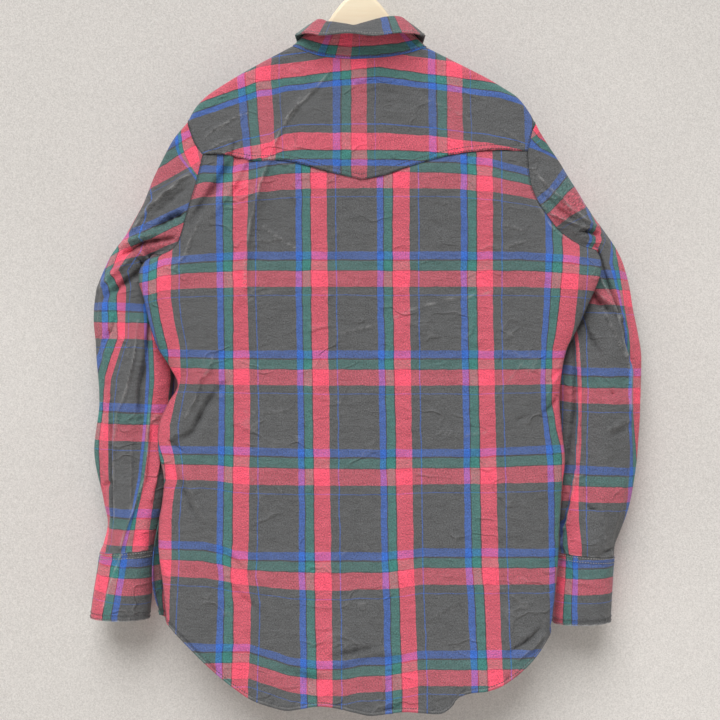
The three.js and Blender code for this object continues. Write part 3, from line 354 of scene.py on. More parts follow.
RIGHT_CREASES = [
    (3, 3.4, 0.9, [(-220, -296), (-237, -317), (-267, -345), (-292, -363), (-308, -368)]),
    (3, 3.0, 0.7, [(-226, -335), (-241, -353), (-267, -363), (-292, -371)]),
    (4, -6.0, 0.0, [(-285, -375), (-297, -374), (-310, -377)]),
    (5, -3.0, 0.0, [(-236, -330), (-259, -350), (-282, -366)]),
    (3, 3.4, 0.9, [(-305, -415), (-313, -438), (-326, -464), (-335, -484), (-345, -533), (-349, -560), (-350, -605)]),
    (4, -5.0, 0.0, [(-308, -399), (-317, -433), (-328, -458), (-341, -502), (-351, -541)]),
    (5, 4.0, 0.6, [(-303, -451), (-318, -464), (-333, -479), (-339, -487)]),
    (5, -5.0, 0.0, [(-295, -446), (-310, -466), (-323, -479)]),
    (4, -3.6, 0.0, [(-288, -492), (-300, -515), (-308, -530)]),
    (3, 2.6, 0.6, [(-313, -472), (-331, -515), (-344, -535)]),
    (3.5, -5.0, 0.0, [(-274, -521), (-276, -566), (-274, -605), (-269, -643), (-264, -682)]),
    (3, 3.0, 0.6, [(-282, -502), (-283, -566), (-282, -618), (-279, -682), (-272, -720), (-264, -759)]),
    (3.5, -4.0, 0.0, [(-272, -708), (-264, -740), (-258, -772), (-255, -787)]),
    (3, -2.4, 0.0, [(-322, -578), (-328, -588)]), (4, -2.0, 0.0, [(-321, -638), (-336, -633), (-349, -627)]),
    (4, 2.4, 0.4, [(-315, -631), (-333, -625), (-349, -618)]),
    (3, -2.6, 0.0, [(-290, -727), (-297, -733), (-305, -732)]), (3, -3.0, 0.0, [(-313, -789), (-326, -785)]),
    (4, 2.0, 0.2, [(-308, -720), (-313, -759), (-315, -785)]),
]
FRONT_CREASES = [
    (16, 4.0, 0.0, [(90, -330), (112, -560), (130, -800)]), (16, 4.0, 0.0, [(-90, -330), (-108, -560), (-125, -790)]),
    (12, -4.0, 0.0, [(190, -330), (204, -480), (215, -640)]),
    (12, -4.0, 0.0, [(-195, -330), (-206, -480), (-215, -640)]),
    (3, 1.6, 0.6, [(150, -420), (120, -470), (104, -540)]), (3, 1.4, 0.5, [(-160, -380), (-128, -450), (-110, -530)]),
    (2.5, 1.2, 0.5, [(60, -600), (100, -640), (150, -650)]), (2.5, 1.2, 0.5, [(-70, -560), (-120, -590), (-160, -640)]),
    (4, -2.4, 0.0, [(230, -520), (190, -560), (160, -590)]), (4, -2.4, 0.0, [(-235, -510), (-200, -560), (-170, -600)]),
    (3, 1.2, 0.4, [(50, -850), (90, -830), (140, -850)]), (3, 1.2, 0.4, [(-60, -870), (-110, -850), (-150, -870)]),
]

# Collar leaf by turn from the middle of the back (0) to the front (1): reach outward and drop
LEAF = [(0, 29, 13), (0.25, 28, 15), (0.45, 27, 14.5), (0.56, 32, 20), (0.68, 29, 38), (0.92, 20, 66), (1, 18, 60)]
LEAF_FOLD = [(-0.4, 0.7), (0.3, 3), (1.4, 4.2), (2.8, 4.6), (4.6, 4.4), (6.5, 3.6)]
# Rise of the collar's fold along its back: x at the stand's top and height
LEAF_RISE = [(-59, 1), (-55, 5), (-50, 8), (-44, 8.5), (-31, 8), (-20, 6), (-12, 4), (0, 1), (6, -1), (10, -1.5),
             (18, 0), (35, 1.5), (44, 1.5), (49, 4), (53, 4.5), (57, 2), (59, 0)]

# Grid and normals of each piece of cloth, by the node it stands for
PIECES = {}


# Curves and outlines

def curve(points, fractions, steps=40):
    """Smooth centripetal curve through the points, taken at fractions of its length."""
    points = np.array(points, float)
    full = np.vstack([2 * points[0] - points[1], points, 2 * points[-1] - points[-2]])
    t = np.linspace(0, 1, steps, endpoint=False)[:, None]
    dense = []
    for i in range(len(points) - 1):
        p0, p1, p2, p3 = full[i:i + 4]
        d0, d1, d2 = (max(float(np.linalg.norm(b - a)) ** 0.5, 1e-4) for a, b in ((p0, p1), (p1, p2), (p2, p3)))
        t1 = ((p1 - p0) / d0 - (p2 - p0) / (d0 + d1) + (p2 - p1) / d1) * d1
        t2 = ((p2 - p1) / d1 - (p3 - p1) / (d1 + d2) + (p3 - p2) / d2) * d1
        dense.append(p1 + t1 * t + (-3 * p1 + 3 * p2 - 2 * t1 - t2) * t ** 2 + (2 * p1 - 2 * p2 + t1 + t2) * t ** 3)
    line = np.vstack(dense + [points[-1:]])
    share = shares(line)
    return np.column_stack([np.interp(fractions, share, line[:, k]) for k in range(line.shape[1])])


def run_along(line):
    """Length of a polyline up to each of its points."""
    return np.concatenate([[0], np.cumsum(np.linalg.norm(np.diff(line, axis=0), axis=1))])


def run_down(grid):
    """Length of a grid's columns up to each of their points."""
    steps = np.linalg.norm(np.diff(grid, axis=0), axis=-1)
    return np.concatenate([np.zeros((1, grid.shape[1])), np.cumsum(steps, 0)])


def shares(line):
    """Share of a polyline's length reached at each of its points."""
    run = run_along(line)
    return run / run[-1]


def gap_to(grid, side):
    """Distance of each point of a grid from a side of it, in the point's own row or column."""
    edges = {"top": grid[:1], "low": grid[-1:], "left": grid[:, :1], "right": grid[:, -1:]}
    return np.linalg.norm(grid - edges[side], axis=-1)


def around(values):
    """Values along an armhole's edge laid round its whole ring, up its back and down its front."""
    return np.concatenate([values[::-1], values[1:-1]])


def even(count):
    return np.linspace(0, 1, count + 1)


def join(*lines):
    return np.vstack([lines[0]] + [line[1:] for line in lines[1:]])


def smooth(t):
    t = np.clip(t, 0, 1)
    return t * t * (3 - 2 * t)


def arc(t):
    return np.sqrt(1 - (1 - np.clip(t, 0, 1)) ** 2)


def mix(a, b, t):
    return a + (b - a) * t


def unit(v):
    return v / np.maximum(np.linalg.norm(v, axis=-1, keepdims=True), 1e-9)


def panel(top, bottom, left, right):
    """Four-sided panel of x and z filled in from its edges."""
    t = ((shares(left) + shares(right)) / 2)[:, None]
    s = mix(shares(top)[None, :], shares(bottom)[None, :], t)[..., None]
    t = t[..., None]
    edges = mix(top[None], bottom[None], t) + mix(left[:, None], right[:, None], s)
    return edges - mix(mix(top[0], top[-1], s), mix(bottom[0], bottom[-1], s), t)


# Form of the hung torso

def ridge_table():
    left = curve(RIDGE_LEFT, even(30))
    right = curve(RIDGE_RIGHT[::-1], even(30))
    line = np.vstack([[(-330, -420), (-255, -284)], right, [(0, -88)], left, [(258, -290), (320, -420)]])
    return line[np.argsort(line[:, 0])]


RIDGE = ridge_table()


# Bulge behind the neck, reach of the shoulder's slope, rounding towards the side seams and wave of the hem
NECK_Z = -150
NECK_REACH = (70, 50)
SHOULDER_REACH = 170
BACK_ROUND = 60
FRONT_ROUND = 100
WAVE = 4
WAVE_Z = -840
# Far more than any distance from a side seam
OPEN = 1e4


def depth(side, x, z, from_edge):
    """Depth of the torso's back (side 1) or front (side -1)."""
    h = np.interp(x, RIDGE[:, 0], RIDGE[:, 1]) - z
    underarm = np.where(x > 0, UNDERARM_LEFT, UNDERARM_RIGHT)
    opened = arc((z - underarm) / ARMHOLE_FADE)
    neck = NECK_BULGE * np.exp(-(x / NECK_REACH[0]) ** 2 - ((z - NECK_Z) / NECK_REACH[1]) ** 2)
    half = mix(SHOULDER_HALF, BACK_HALF if side > 0 else FRONT_HALF, smooth(h / SHOULDER_REACH)) + neck
    rounded = arc(from_edge / (BACK_ROUND if side > 0 else FRONT_ROUND))
    lift = SIDE_SEAM_LIFT * (1 - opened) * smooth((underarm - z) / 40)
    part = mix(rounded, 1, opened)
    wave = WAVE * np.sin(x / 34 + (0 if side > 0 else 2)) * smooth((WAVE_Z - z) / 140)
    return (lift + part * (side * half - lift) + wave * np.minimum(rounded, 1)) * arc(h / RIDGE_ROUND)


# Share of a crease's width on the side that falls away from the light, and scale of all heights
STEEP_SIDE = 0.5
CREASE_SCALE = 1.45
# Half width of the pale line along a crease
WORN_LINE = 1.1
# Width and paleness of the painted shade line along a sewn edge
SEAM_LINE = 1.6
SEAM_DARK = -0.75


def creases(rows, x, z):
    """Height of a table's creases at each point, and its paleness: worn pale lines along them, and below 0 painted
    shade in the deepest folds.
    """
    height = np.zeros_like(x)
    pale = np.zeros_like(x)
    deep = np.zeros_like(x)
    for width, rise, light, points in rows:
        near = np.full_like(x, 1e9)
        along = np.zeros_like(x)
        below = np.zeros_like(x, bool)
        line = np.array(points, float)
        share = shares(line)
        upward = 1 if line[-1, 0] >= line[0, 0] else -1
        for k in range(len(line) - 1):
            a, d = line[k], line[k + 1] - line[k]
            t = np.clip(((x - a[0]) * d[0] + (z - a[1]) * d[1]) / (d @ d), 0, 1)
            gap = np.hypot(x - a[0] - t * d[0], z - a[1] - t * d[1])
            closer = gap < near
            near = np.where(closer, gap, near)
            below = np.where(closer, upward * ((z - a[1]) * d[0] - (x - a[0]) * d[1]) < 0, below)
            along = np.where(closer, mix(share[k], share[k + 1], t), along)
        swell = (0.35 + 0.65 * np.sin(np.pi * np.clip(along, 0.04, 0.96))) * (1 + 0.2 * np.sin(23 * along + rise))
        steep = np.where(below == (rise > 0), STEEP_SIDE, 1)
        height += CREASE_SCALE * rise * np.exp(-(near / (width * steep)) ** 2) * swell
        pale += light * np.exp(-(near / WORN_LINE) ** 2) * (0.6 + 0.4 * np.sin(31 * along + width))
        # Painted shade along the troughs of folds deeper than 2, where the cloth lies in shadow
        deep += smooth((-rise - 2) / 5) * np.exp(-(near / (0.7 * width)) ** 2) * swell
    return height, np.where(pale > 0.08, np.clip(pale, 0, 1), -np.clip(deep, 0, 1))


def lighter(a, b):
    """Paleness a with the worn edges of b laid over it."""
    return np.where(b > 0.03, np.maximum(a, b), a)


def seam_shade(grid, edges, pale):
    """Paleness with a narrow line of painted shade along each sewn edge."""
    for name in edges:
        pale = np.where(gap_to(grid, name) < SEAM_LINE, SEAM_DARK, pale)
    return pale


def undulation(x, z, phase):
    """Soft unevenness of worn cloth."""
    waves = ((61, 35, 0.5), (-44, 58, 0.45), (27, -31, 0.3), (17, 22, 0.22), (-12, 15, 0.14), (9, 7.5, 0.08))
    total = np.zeros_like(x)
    for k, (across, down, size) in enumerate(waves):
        bend = 0.9 * np.sin(x / (31 + 7 * k) + phase * 1.7) + 0.8 * np.sin(z / (37 + 5 * k) - phase)
        total += size * np.sin(x / across + z / down + bend + phase * (k + 1))
    return total


# Meshes

def normals(grid, closed):
    """Unit normals of a grid of points."""
    if closed:
        across = np.roll(grid, -1, axis=1) - np.roll(grid, 1, axis=1)
    else:
        wide = np.concatenate([grid[:, :1], grid, grid[:, -1:]], axis=1)
        across = wide[:, 2:] - wide[:, :-2]
    tall = np.concatenate([grid[:1], grid, grid[-1:]], axis=0)
    return unit(np.cross(across, tall[2:] - tall[:-2]))


def square_to(normal, held):
    """Normals turned square to the directions held at a seam."""
    return unit(normal - (normal * held).sum(-1, keepdims=True) * held)


def facing(grid, closed, towards):
    """Outward normals: away from the ring's centre when closed, else along the given direction."""
    n = normals(grid, closed)
    r, c = grid.shape[0] // 2, grid.shape[1] // (4 if closed else 2)
    out = grid[r, c] - grid[r].mean(0) if closed else np.array(towards, float)
    return n if n[r, c] @ out > 0 else -n


def linked(name, data):
    """New object in the scene."""
    obj = bpy.data.objects.new(name, data)
    bpy.context.scene.collection.objects.link(obj)
    return obj


def object_from(name, points, faces, uv, pale):
    mesh = bpy.data.meshes.new(name)
    mesh.from_pydata((np.asarray(points) * MM).tolist(), [], np.asarray(faces).tolist())
    mesh.uv_layers.new(name="chart").data.foreach_set("uv", (np.asarray(uv) * MM).ravel())
    # Paleness per point: above 0 worn paleness, below 0 painted shade
    mesh.attributes.new("pale", "FLOAT", "POINT").data.foreach_set("value", np.asarray(pale, float).ravel())
    mesh.validate()
    mesh.update()
    mesh.shade_smooth()
    mesh.set_sharp_from_angle(angle=math.radians(50))
    return linked(name, mesh)


def cloth(name, grid, normal, ply, chart, pale, closed=False):
    """Closed wall of cloth on a grid, in place of a node; chart holds the place of each point in the check."""
    rows, cols = grid.shape[:2]
    ply = np.broadcast_to(np.asarray(ply, float), (rows, cols))
    inner = grid - normal * ply[..., None]
    points = np.concatenate([grid.reshape(-1, 3), inner.reshape(-1, 3)])
    last = cols if closed else cols - 1
    r, c = np.meshgrid(np.arange(rows - 1), np.arange(last), indexing="ij")
    r, c = r.ravel(), c.ravel()
    wide = chart.shape[1]
    flat = chart.reshape(-1, 2)

    def corners(layer, rr, cc):
        return layer * rows * cols + rr * cols + cc % cols, rr * wide + cc

    faces, places = [], []

    def quads(*four):
        pairs = [corners(*corner) for corner in four]
        faces.append(np.column_stack([pair[0] for pair in pairs]))
        places.append(np.column_stack([pair[1] for pair in pairs]))

    quads((0, r, c), (0, r, c + 1), (0, r + 1, c + 1), (0, r + 1, c))
    quads((1, r, c), (1, r + 1, c), (1, r + 1, c + 1), (1, r, c + 1))
    c = np.arange(last)
    top, low = np.zeros_like(c), np.full_like(c, rows - 1)
    quads((0, top, c), (1, top, c), (1, top, c + 1), (0, top, c + 1))
    quads((0, low, c), (0, low, c + 1), (1, low, c + 1), (1, low, c))
    if not closed:
        r = np.arange(rows - 1)
        first, end = np.zeros_like(r), np.full_like(r, cols - 1)
        quads((0, r, first), (0, r + 1, first), (1, r + 1, first), (1, r, first))
        quads((0, r, end), (1, r, end), (1, r + 1, end), (0, r + 1, end))
    faces, places = np.vstack(faces), np.vstack(places)
    a, b, d = points[faces[:, 0]], points[faces[:, 1]], points[faces[:, 2]]
    if (a * np.cross(b, d)).sum() < 0:
        faces, places = faces[:, ::-1], places[:, ::-1]
    obj = object_from("cloth_" + name, points, faces, flat[places].reshape(-1, 2), np.concatenate([pale, pale]).ravel())
    obj.data.materials.append(material("cloth"))
    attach(obj, "root")
    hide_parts(name)
    PIECES[name] = (grid, normal)


# Run of the check over a piece

def spread(lines, place, at, towards):
    """Chart value at each point from lines of known value: at runs along them and place across them."""
    known = sorted(((value, np.interp(at, *ordered(points, 1 - towards, towards))) for value, points in lines),
                   key=lambda item: item[1].mean())
    value = known[0][0] + (place - known[0][1]) * np.sign(known[1][0] - known[0][0])
    for (v0, p0), (v1, p1) in zip(known[:-1], known[1:]):
        t = (place - p0) / np.maximum(p1 - p0, 1e-3)
        value = np.where(place >= p0, mix(v0, v1, np.minimum(t, 1)), value)
    v0, p0 = known[-1]
    return np.where(place > p0, v0 + (place - p0) * np.sign(v0 - known[-2][0]), value)


def ordered(points, along, across):
    line = np.array(sorted(points, key=lambda p: p[along]), float)
    return line[:, along], line[:, across]


def unroll(value, grid, turned, axis, start):
    """Chart value carried along the cloth itself where the surface turns away from the viewer."""
    value = np.moveaxis(value, axis, 0)
    grid = np.moveaxis(grid, axis, 0)
    turned = np.moveaxis(turned, axis, 0)
    step = np.diff(value, axis=0)
    length = np.linalg.norm(np.diff(grid, axis=0), axis=-1)
    away = (turned[1:] + turned[:-1]) / 2
    sign = np.sign(np.median(step[max(start - 3, 0):start + 3]))
    step = mix(step, sign * length, away)
    out = np.empty_like(value)
    out[start] = value[start]
    out[start + 1:] = value[start] + np.cumsum(step[start:], axis=0)
    out[:start] = value[start] - np.cumsum(step[:start][::-1], axis=0)[::-1]
    return np.moveaxis(out, 0, axis)


def turned_away(normal, side):
    return 1 - smooth((normal[..., 1] * side - 0.25) / 0.3)


# Edges shared between pieces

def outward(line, side):
    """Direction away from the torso at each point of an edge."""
    ahead = np.vstack([line[1:], line[-1:]]) - np.vstack([line[:1], line[:-1]])
    run = unit(ahead)
    return np.column_stack([-run[:, 1] * side, np.zeros(len(line)), run[:, 0] * side])


def torso(side, flat, left, right, drop=None):
    """Points of a torso panel at its depth; left and right tell which edges turn to the side seams."""
    x, z = flat[..., 0], flat[..., 1]
    gaps = [np.full_like(x, OPEN)]
    if left:
        gaps.append(gap_to(flat, "left"))
    if right:
        gaps.append(gap_to(flat, "right"))
    from_edge = np.minimum.reduce(gaps)
    y = depth(side, x, z, from_edge)
    if drop is not None:
        y = y - side * drop(x)
    return np.stack([x, y, z], axis=-1), from_edge


# Reach of the calm cloth beside a side seam
QUIET = 14


def dress(side, grid, from_edge, rows, phase):
    """Creases and soft unevenness over a torso panel, fading out towards its side edges."""
    x, z = grid[..., 0], grid[..., 2]
    height, pale = creases(rows, x, z)
    fade = smooth(from_edge / QUIET)
    grid = grid.copy()
    grid[..., 1] += side * (height + undulation(x, z, phase)) * fade
    return grid, pale


def edge_pale(grid, edges, reach=2.2, light=0.5):
    """Paleness along worn edges: names of the grid's sides."""
    pale = np.zeros(grid.shape[:2])
    x, z = grid[..., 0], grid[..., 2]
    worn = 0.65 + 0.35 * np.sin(x / 1.9 + 2 * np.sin(z / 7)) * np.sin(z / 2.3 + 2 * np.sin(x / 11))
    for name in edges:
        pale = np.maximum(pale, light * worn * np.exp(-(gap_to(grid, name) / reach) ** 2))
    return pale


# Materials

YARNS = {"ground": (0.108, 0.11, 0.113), "dark": (0.045, 0.047, 0.055), "red": (0.9, 0.105, 0.175),
         "blue": (0.045, 0.15, 0.56), "green": (0.055, 0.225, 0.2)}
HEATHER = 0.32
MATERIALS = {}


def feed(tree, target, inputs):
    """Values of a node's inputs, or the outputs that feed them."""
    for name, source in inputs.items():
        if isinstance(source, (int, float, tuple)):
            target.inputs[name].default_value = source
        else:
            tree.links.new(source, target.inputs[name])


def node(tree, kind, inputs=None, **settings):
    made = tree.nodes.new(kind)
    for key, value in settings.items():
        setattr(made, key, value)
    feed(tree, made, inputs or {})
    return made


def group_tree(name, kind, inputs, outputs):
    """Node group with its sockets and their kinds, the outputs of its input node, and its output node."""
    tree = bpy.data.node_groups.new(name, kind)
    for way, sockets in (("INPUT", inputs), ("OUTPUT", outputs)):
        for label, socket in sockets.items():
            tree.interface.new_socket(label, in_out=way, socket_type="NodeSocket" + socket)
    return tree, node(tree, "NodeGroupInput").outputs, node(tree, "NodeGroupOutput")


def calc(tree, operation, *inputs, clamp=False):
    return node(tree, "ShaderNodeMath", dict(enumerate(inputs)), operation=operation, use_clamp=clamp).outputs[0]


def blend(tree, factor, a, b):
    return node(tree, "ShaderNodeMix", {"Factor": factor, 6: a, 7: b}, data_type="RGBA").outputs[2]


def noise(tree, vector, scale, detail=2.0, roughness=0.5, stretch=(1, 1, 1)):
    scaled = node(tree, "ShaderNodeVectorMath", {0: vector, 1: stretch}, operation="MULTIPLY").outputs[0]
    inputs = {"Vector": scaled, "Scale": scale, "Detail": detail, "Roughness": roughness}
    return node(tree, "ShaderNodeTexNoise", inputs).outputs["Fac"]


def bumped(tree, height, distance, strength=1.0):
    return node(tree, "ShaderNodeBump", {"Strength": strength, "Distance": distance, "Height": height}).outputs[0]


def stripes(tree, coordinate, repeat, yarns):
    """Yarn colours of one direction of the check."""
    turn = calc(tree, "FRACT", calc(tree, "DIVIDE", coordinate, repeat * MM))
    ramp = node(tree, "ShaderNodeValToRGB", {0: turn})
    ramp.color_ramp.interpolation = "CONSTANT"
    total = sum(width for _, width in yarns)
    at = 0
    for k, (name, width) in enumerate(yarns):
        stop = ramp.color_ramp.elements[k] if k < 2 else ramp.color_ramp.elements.new(at / total)
        stop.position = at / total
        stop.color = YARNS[name] + (1,)
        at += width
    return ramp.outputs[0]


def check_group():
    """Yarn-dyed check: warp and weft stripes crossing, heathered and worn pale, and darkened by painted shade where its
    paleness is below 0.
    """
    tree, source, target = group_tree(
        "Yarn dyed check", "ShaderNodeTree",
        {"Chart": "Vector", "Place": "Vector", "Wear_and_shade": "Float", "Heather": "Float"},
        {"Color": "Color", "Height": "Float"})
    tree.interface.items_tree["Heather"].default_value = HEATHER
    chart, place = source["Chart"], source["Place"]
    # Slight waver of the yarns
    jitter = node(tree, "ShaderNodeTexNoise", {"Vector": place, "Scale": 48, "Detail": 3})
    waver = node(tree, "ShaderNodeVectorMath", {0: jitter.outputs["Color"], 1: (0.003, 0.003, 0), 2: chart},
                 operation="MULTIPLY_ADD")
    parts = node(tree, "ShaderNodeSeparateXYZ", {0: waver.outputs[0]})
    warp = stripes(tree, parts.outputs[0], WARP_REPEAT, WARP_YARNS)
    weft = stripes(tree, parts.outputs[1], WEFT_REPEAT, WEFT_YARNS)
    speck_warp = noise(tree, chart, 1.0, 2.0, 0.6, (1300, 560, 1))
    speck_weft = noise(tree, chart, 1.0, 2.0, 0.6, (560, 1300, 1))
    share = calc(tree, "ADD", 1 - WARP_SHARE,
                 calc(tree, "MULTIPLY", calc(tree, "SUBTRACT", speck_weft, speck_warp), 0.8), clamp=True)
    woven = blend(tree, share, warp, weft)
    # Heather: light and dark flecks along both yarns
    fleck = calc(tree, "SUBTRACT", calc(tree, "ADD", speck_warp, speck_weft), 1.0)
    mottle = calc(tree, "SUBTRACT", noise(tree, place, 75, 4.0, 0.65), 0.5)
    tone = calc(tree, "MULTIPLY_ADD", fleck, calc(tree, "MULTIPLY", source["Heather"], 6.5), 1.0)
    tone = calc(tree, "MULTIPLY_ADD", mottle, 0.42, tone)
    value = node(tree, "ShaderNodeHueSaturation", {"Color": woven, "Value": tone})
    # Paler flecks of wear on creases, seams and edges, and paler lines along the fine wrinkles over the whole cloth
    wrinkle_noise = noise(tree, place, 15.0, 2.5, 0.5, (1, 1, 1.6))
    line = calc(tree, "MULTIPLY", calc(tree, "ABSOLUTE", calc(tree, "SUBTRACT", wrinkle_noise, 0.5)), 30.0)
    line = calc(tree, "SUBTRACT", 1.0, line, clamp=True)
    patch = calc(tree, "MULTIPLY", calc(tree, "SUBTRACT", noise(tree, place, 22.0, 2.0), 0.46), 6.0, clamp=True)
    wrinkle = calc(tree, "MULTIPLY", line, patch)
    faint = calc(tree, "MULTIPLY", calc(tree, "POWER", wrinkle, 3.0), 0.09)
    broken = calc(tree, "MULTIPLY_ADD", speck_warp, 1.6, -0.1, clamp=True)
    worn = calc(tree, "MULTIPLY", source["Wear_and_shade"], broken)
    worn = calc(tree, "ADD", calc(tree, "MULTIPLY", worn, 0.62), faint, clamp=True)
    paled_colour = blend(tree, worn, value.outputs[0], (0.5, 0.5, 0.5, 1))
    # Painted shade: where the paleness is below 0 (deep folds, seam lines, the hem's fold and cuff lines) the colour is
    # darkened toward near black
    painted_shade = calc(tree, "MULTIPLY", calc(tree, "MULTIPLY", source["Wear_and_shade"], -1.0, clamp=True), 0.62)
    folded = blend(tree, painted_shade, paled_colour, (0.02, 0.02, 0.023, 1))
    # Height of crumples and threads
    crumple = calc(tree, "MULTIPLY", noise(tree, place, 26, 3.0, 0.5), 0.003)
    crumple = calc(tree, "MULTIPLY_ADD", wrinkle, 0.0018, crumple)
    small = calc(tree, "MULTIPLY", noise(tree, place, 60, 3.0, 0.6, (0.7, 1, 1.7)), 0.0036)
    threads = calc(tree, "MULTIPLY", calc(tree, "ADD", speck_warp, speck_weft), 0.00016)
    height = calc(tree, "ADD", calc(tree, "ADD", crumple, small), threads)
    feed(tree, target, {"Color": folded, "Height": height})
    return tree


def new_material(name):
    made = bpy.data.materials.new(name)
    made.use_nodes = True
    tree = made.node_tree
    return made, tree, tree.nodes["Principled BSDF"]


def cloth_material():
    made, tree, shader = new_material("plaid cloth")
    group = node(tree, "ShaderNodeGroup", {
        "Chart": node(tree, "ShaderNodeUVMap", uv_map="chart").outputs[0],
        "Place": node(tree, "ShaderNodeTexCoord").outputs["Object"],
        "Wear_and_shade": node(tree, "ShaderNodeAttribute", attribute_name="pale").outputs["Fac"],
    }, node_tree=check_group())
    feed(tree, shader, {
        "Base Color": group.outputs["Color"], "Normal": bumped(tree, group.outputs["Height"], 1.0, 0.85),
        "Roughness": 0.9, "Specular IOR Level": 0.25, "Sheen Weight": 0.12, "Sheen Roughness": 0.5,
    })
    return made


def plain_material(name, colour, roughness, metallic=0.0, coat=0.0, grain=None):
    """One colour; grain gives its flecks' colour, scale and stretch, and the depth of their relief."""
    made, tree, shader = new_material(name)
    feed(tree, shader, {"Base Color": colour + (1,), "Roughness": roughness, "Metallic": metallic, "Coat Weight": coat})
    if grain:
        dark, scale, stretch, relief = grain
        flecks = noise(tree, node(tree, "ShaderNodeTexCoord").outputs["Object"], scale, 4.0, 0.6, stretch)
        feed(tree, shader, {"Base Color": blend(tree, flecks, colour + (1,), dark + (1,)),
                            "Normal": bumped(tree, flecks, relief)})
    return made


def wall_material():
    """Pale wall seen from its front, clear from behind and to the light that falls on the shirt's front."""
    made, tree, shader = new_material("studio wall")
    place = node(tree, "ShaderNodeTexCoord").outputs["Object"]
    fine = noise(tree, place, 620, 2.0, 0.7)
    tone = calc(tree, "ADD", fine, calc(tree, "MULTIPLY", noise(tree, place, 1.6, 2.0), 0.4))
    tone = calc(tree, "SUBTRACT", tone, 0.2, clamp=True)
    feed(tree, shader, {
        "Base Color": blend(tree, tone, (0.4, 0.382, 0.362, 1), (0.9, 0.868, 0.837, 1)),
        "Roughness": 0.95, "Specular IOR Level": 0.1, "Normal": bumped(tree, fine, 0.0004),
    })
    back = node(tree, "ShaderNodeNewGeometry").outputs["Backfacing"]
    shadow = node(tree, "ShaderNodeLightPath").outputs["Is Shadow Ray"]
    either = node(tree, "ShaderNodeMixShader", {
        0: calc(tree, "MAXIMUM", back, shadow), 1: shader.outputs[0],
        2: node(tree, "ShaderNodeBsdfTransparent").outputs[0],
    })
    feed(tree, tree.nodes["Material Output"], {"Surface": either.outputs[0]})
    return made


def material(name):
    """Material by plain name, made when first asked for."""
    colours = bpy.context.scene.shirt_colours
    makers = {
        "cloth": cloth_material,
        "wall": wall_material,
        "floor": lambda: plain_material("studio floor", (0.6, 0.58, 0.55), 0.9),
        "thread": lambda: plain_material("topstitch thread", tuple(colours.thread), 0.8,
                                         grain=((0.16, 0.15, 0.15), 180, (1, 1, 1), 0.0001)),
        "dark_thread": lambda: plain_material("dark topstitch thread", (0.05, 0.05, 0.055), 0.8,
                                              grain=((0.12, 0.12, 0.125), 180, (1, 1, 1), 0.0001)),
        "wood": lambda: plain_material("pale wood", tuple(colours.wood), 0.42, coat=0.25,
                                       grain=((0.88, 0.7, 0.46), 9, (1, 6, 14), 0.0002)),
        "wire": lambda: plain_material("hook wire", (0.6, 0.6, 0.58), 0.28, 1.0,
                                       grain=((0.42, 0.42, 0.41), 160, (1, 1, 1), 0.00005)),
        "pearl": lambda: plain_material("pearl cap", tuple(colours.pearl), 0.18, coat=0.6,
                                        grain=((0.72, 0.74, 0.78), 90, (1, 1, 2), 0.00003)),
        "rim": lambda: plain_material("snap rim", (0.66, 0.65, 0.62), 0.25, 1.0,
                                      grain=((0.45, 0.45, 0.43), 200, (1, 1, 1), 0.00003)),
    }
    if name not in MATERIALS:
        MATERIALS[name] = makers[name]()
    return MATERIALS[name]


# Cloth pieces

YOKE_ROWS = 66
ARM_ROWS = 64
SIDE_ROWS = 124
TAIL_ROWS = 56
YOKE_STEPS = even(YOKE_ROWS) ** 1.3
ARM_STEPS = even(ARM_ROWS)
RIDGE_COLS = 56
NECK_COLS = 74
BACK_COLS = 2 * RIDGE_COLS + NECK_COLS
FRONT_COLS = 62
NECK_FRONT_COLS = 30
SLEEVE_ROWS = 240
YOKE_MIDDLE = 45
ARMHOLE_YOKE_STEPS = 15
ARMHOLE_BODY_STEPS = 57
BAND_ROWS = 220
BAND_COLS = 15
CUFF_ROWS = 34
# Width of the turned hem, and distance from the edge of the painted shade line along its fold
HEM_WIDTH = 6.5
HEM_LINE = 7
# Place of the fronts and their yokes in the check
FRONT_DOWN = {"left": 39.8, "right": 21.8}
FRONT_ACROSS = 530.3
FRONT_YOKE_DOWN = 291.3
FRONT_YOKE_ACROSS = 31.5
# Heights of the front's edge: neck, yoke seam and hem, then ends of the band
LAP_TOP = -209
LAP_SEAM = -268
LAP_LOW = -978
BAND_TOP = -211.5
BAND_LOW = -977
ARM_LEFT = {"yoke": curve(ARMHOLE_LEFT["yoke"], YOKE_STEPS), "body": curve(ARMHOLE_LEFT["body"], ARM_STEPS)}
ARM_RIGHT = {"yoke": curve(ARMHOLE_RIGHT["yoke"], YOKE_STEPS), "body": curve(ARMHOLE_RIGHT["body"], ARM_STEPS)}
LOOP_LEFT, LOOP_RIGHT = (join(curve(edge["yoke"], even(ARMHOLE_YOKE_STEPS)),
                              curve(edge["body"], even(ARMHOLE_BODY_STEPS))) for edge in (ARMHOLE_LEFT, ARMHOLE_RIGHT))
SIDE_LEFT_TOP = curve(SIDE_LEFT, even(SIDE_ROWS))
SIDE_LEFT_BACK = join(SIDE_LEFT_TOP, curve(TAIL_LEFT_BACK, even(TAIL_ROWS)))
SIDE_LEFT_FRONT = join(SIDE_LEFT_TOP, curve(TAIL_LEFT_FRONT, even(TAIL_ROWS)))
SIDE_RIGHT_LINE = curve(SIDE_RIGHT, even(SIDE_ROWS + TAIL_ROWS))
YOKE_SEAM = join(curve(YOKE_SEAM_LEFT, even(BACK_COLS // 2)), curve(YOKE_SEAM_RIGHT, even(BACK_COLS // 2)))


# Height and reach of the puckers
PUCKER = 0.45
PUCKER_REACH = 9


def lap_drop(x):
    """Drop of the front that lies under the lap."""
    return UNDERLAP_DROP * smooth((x + 36) / 16)


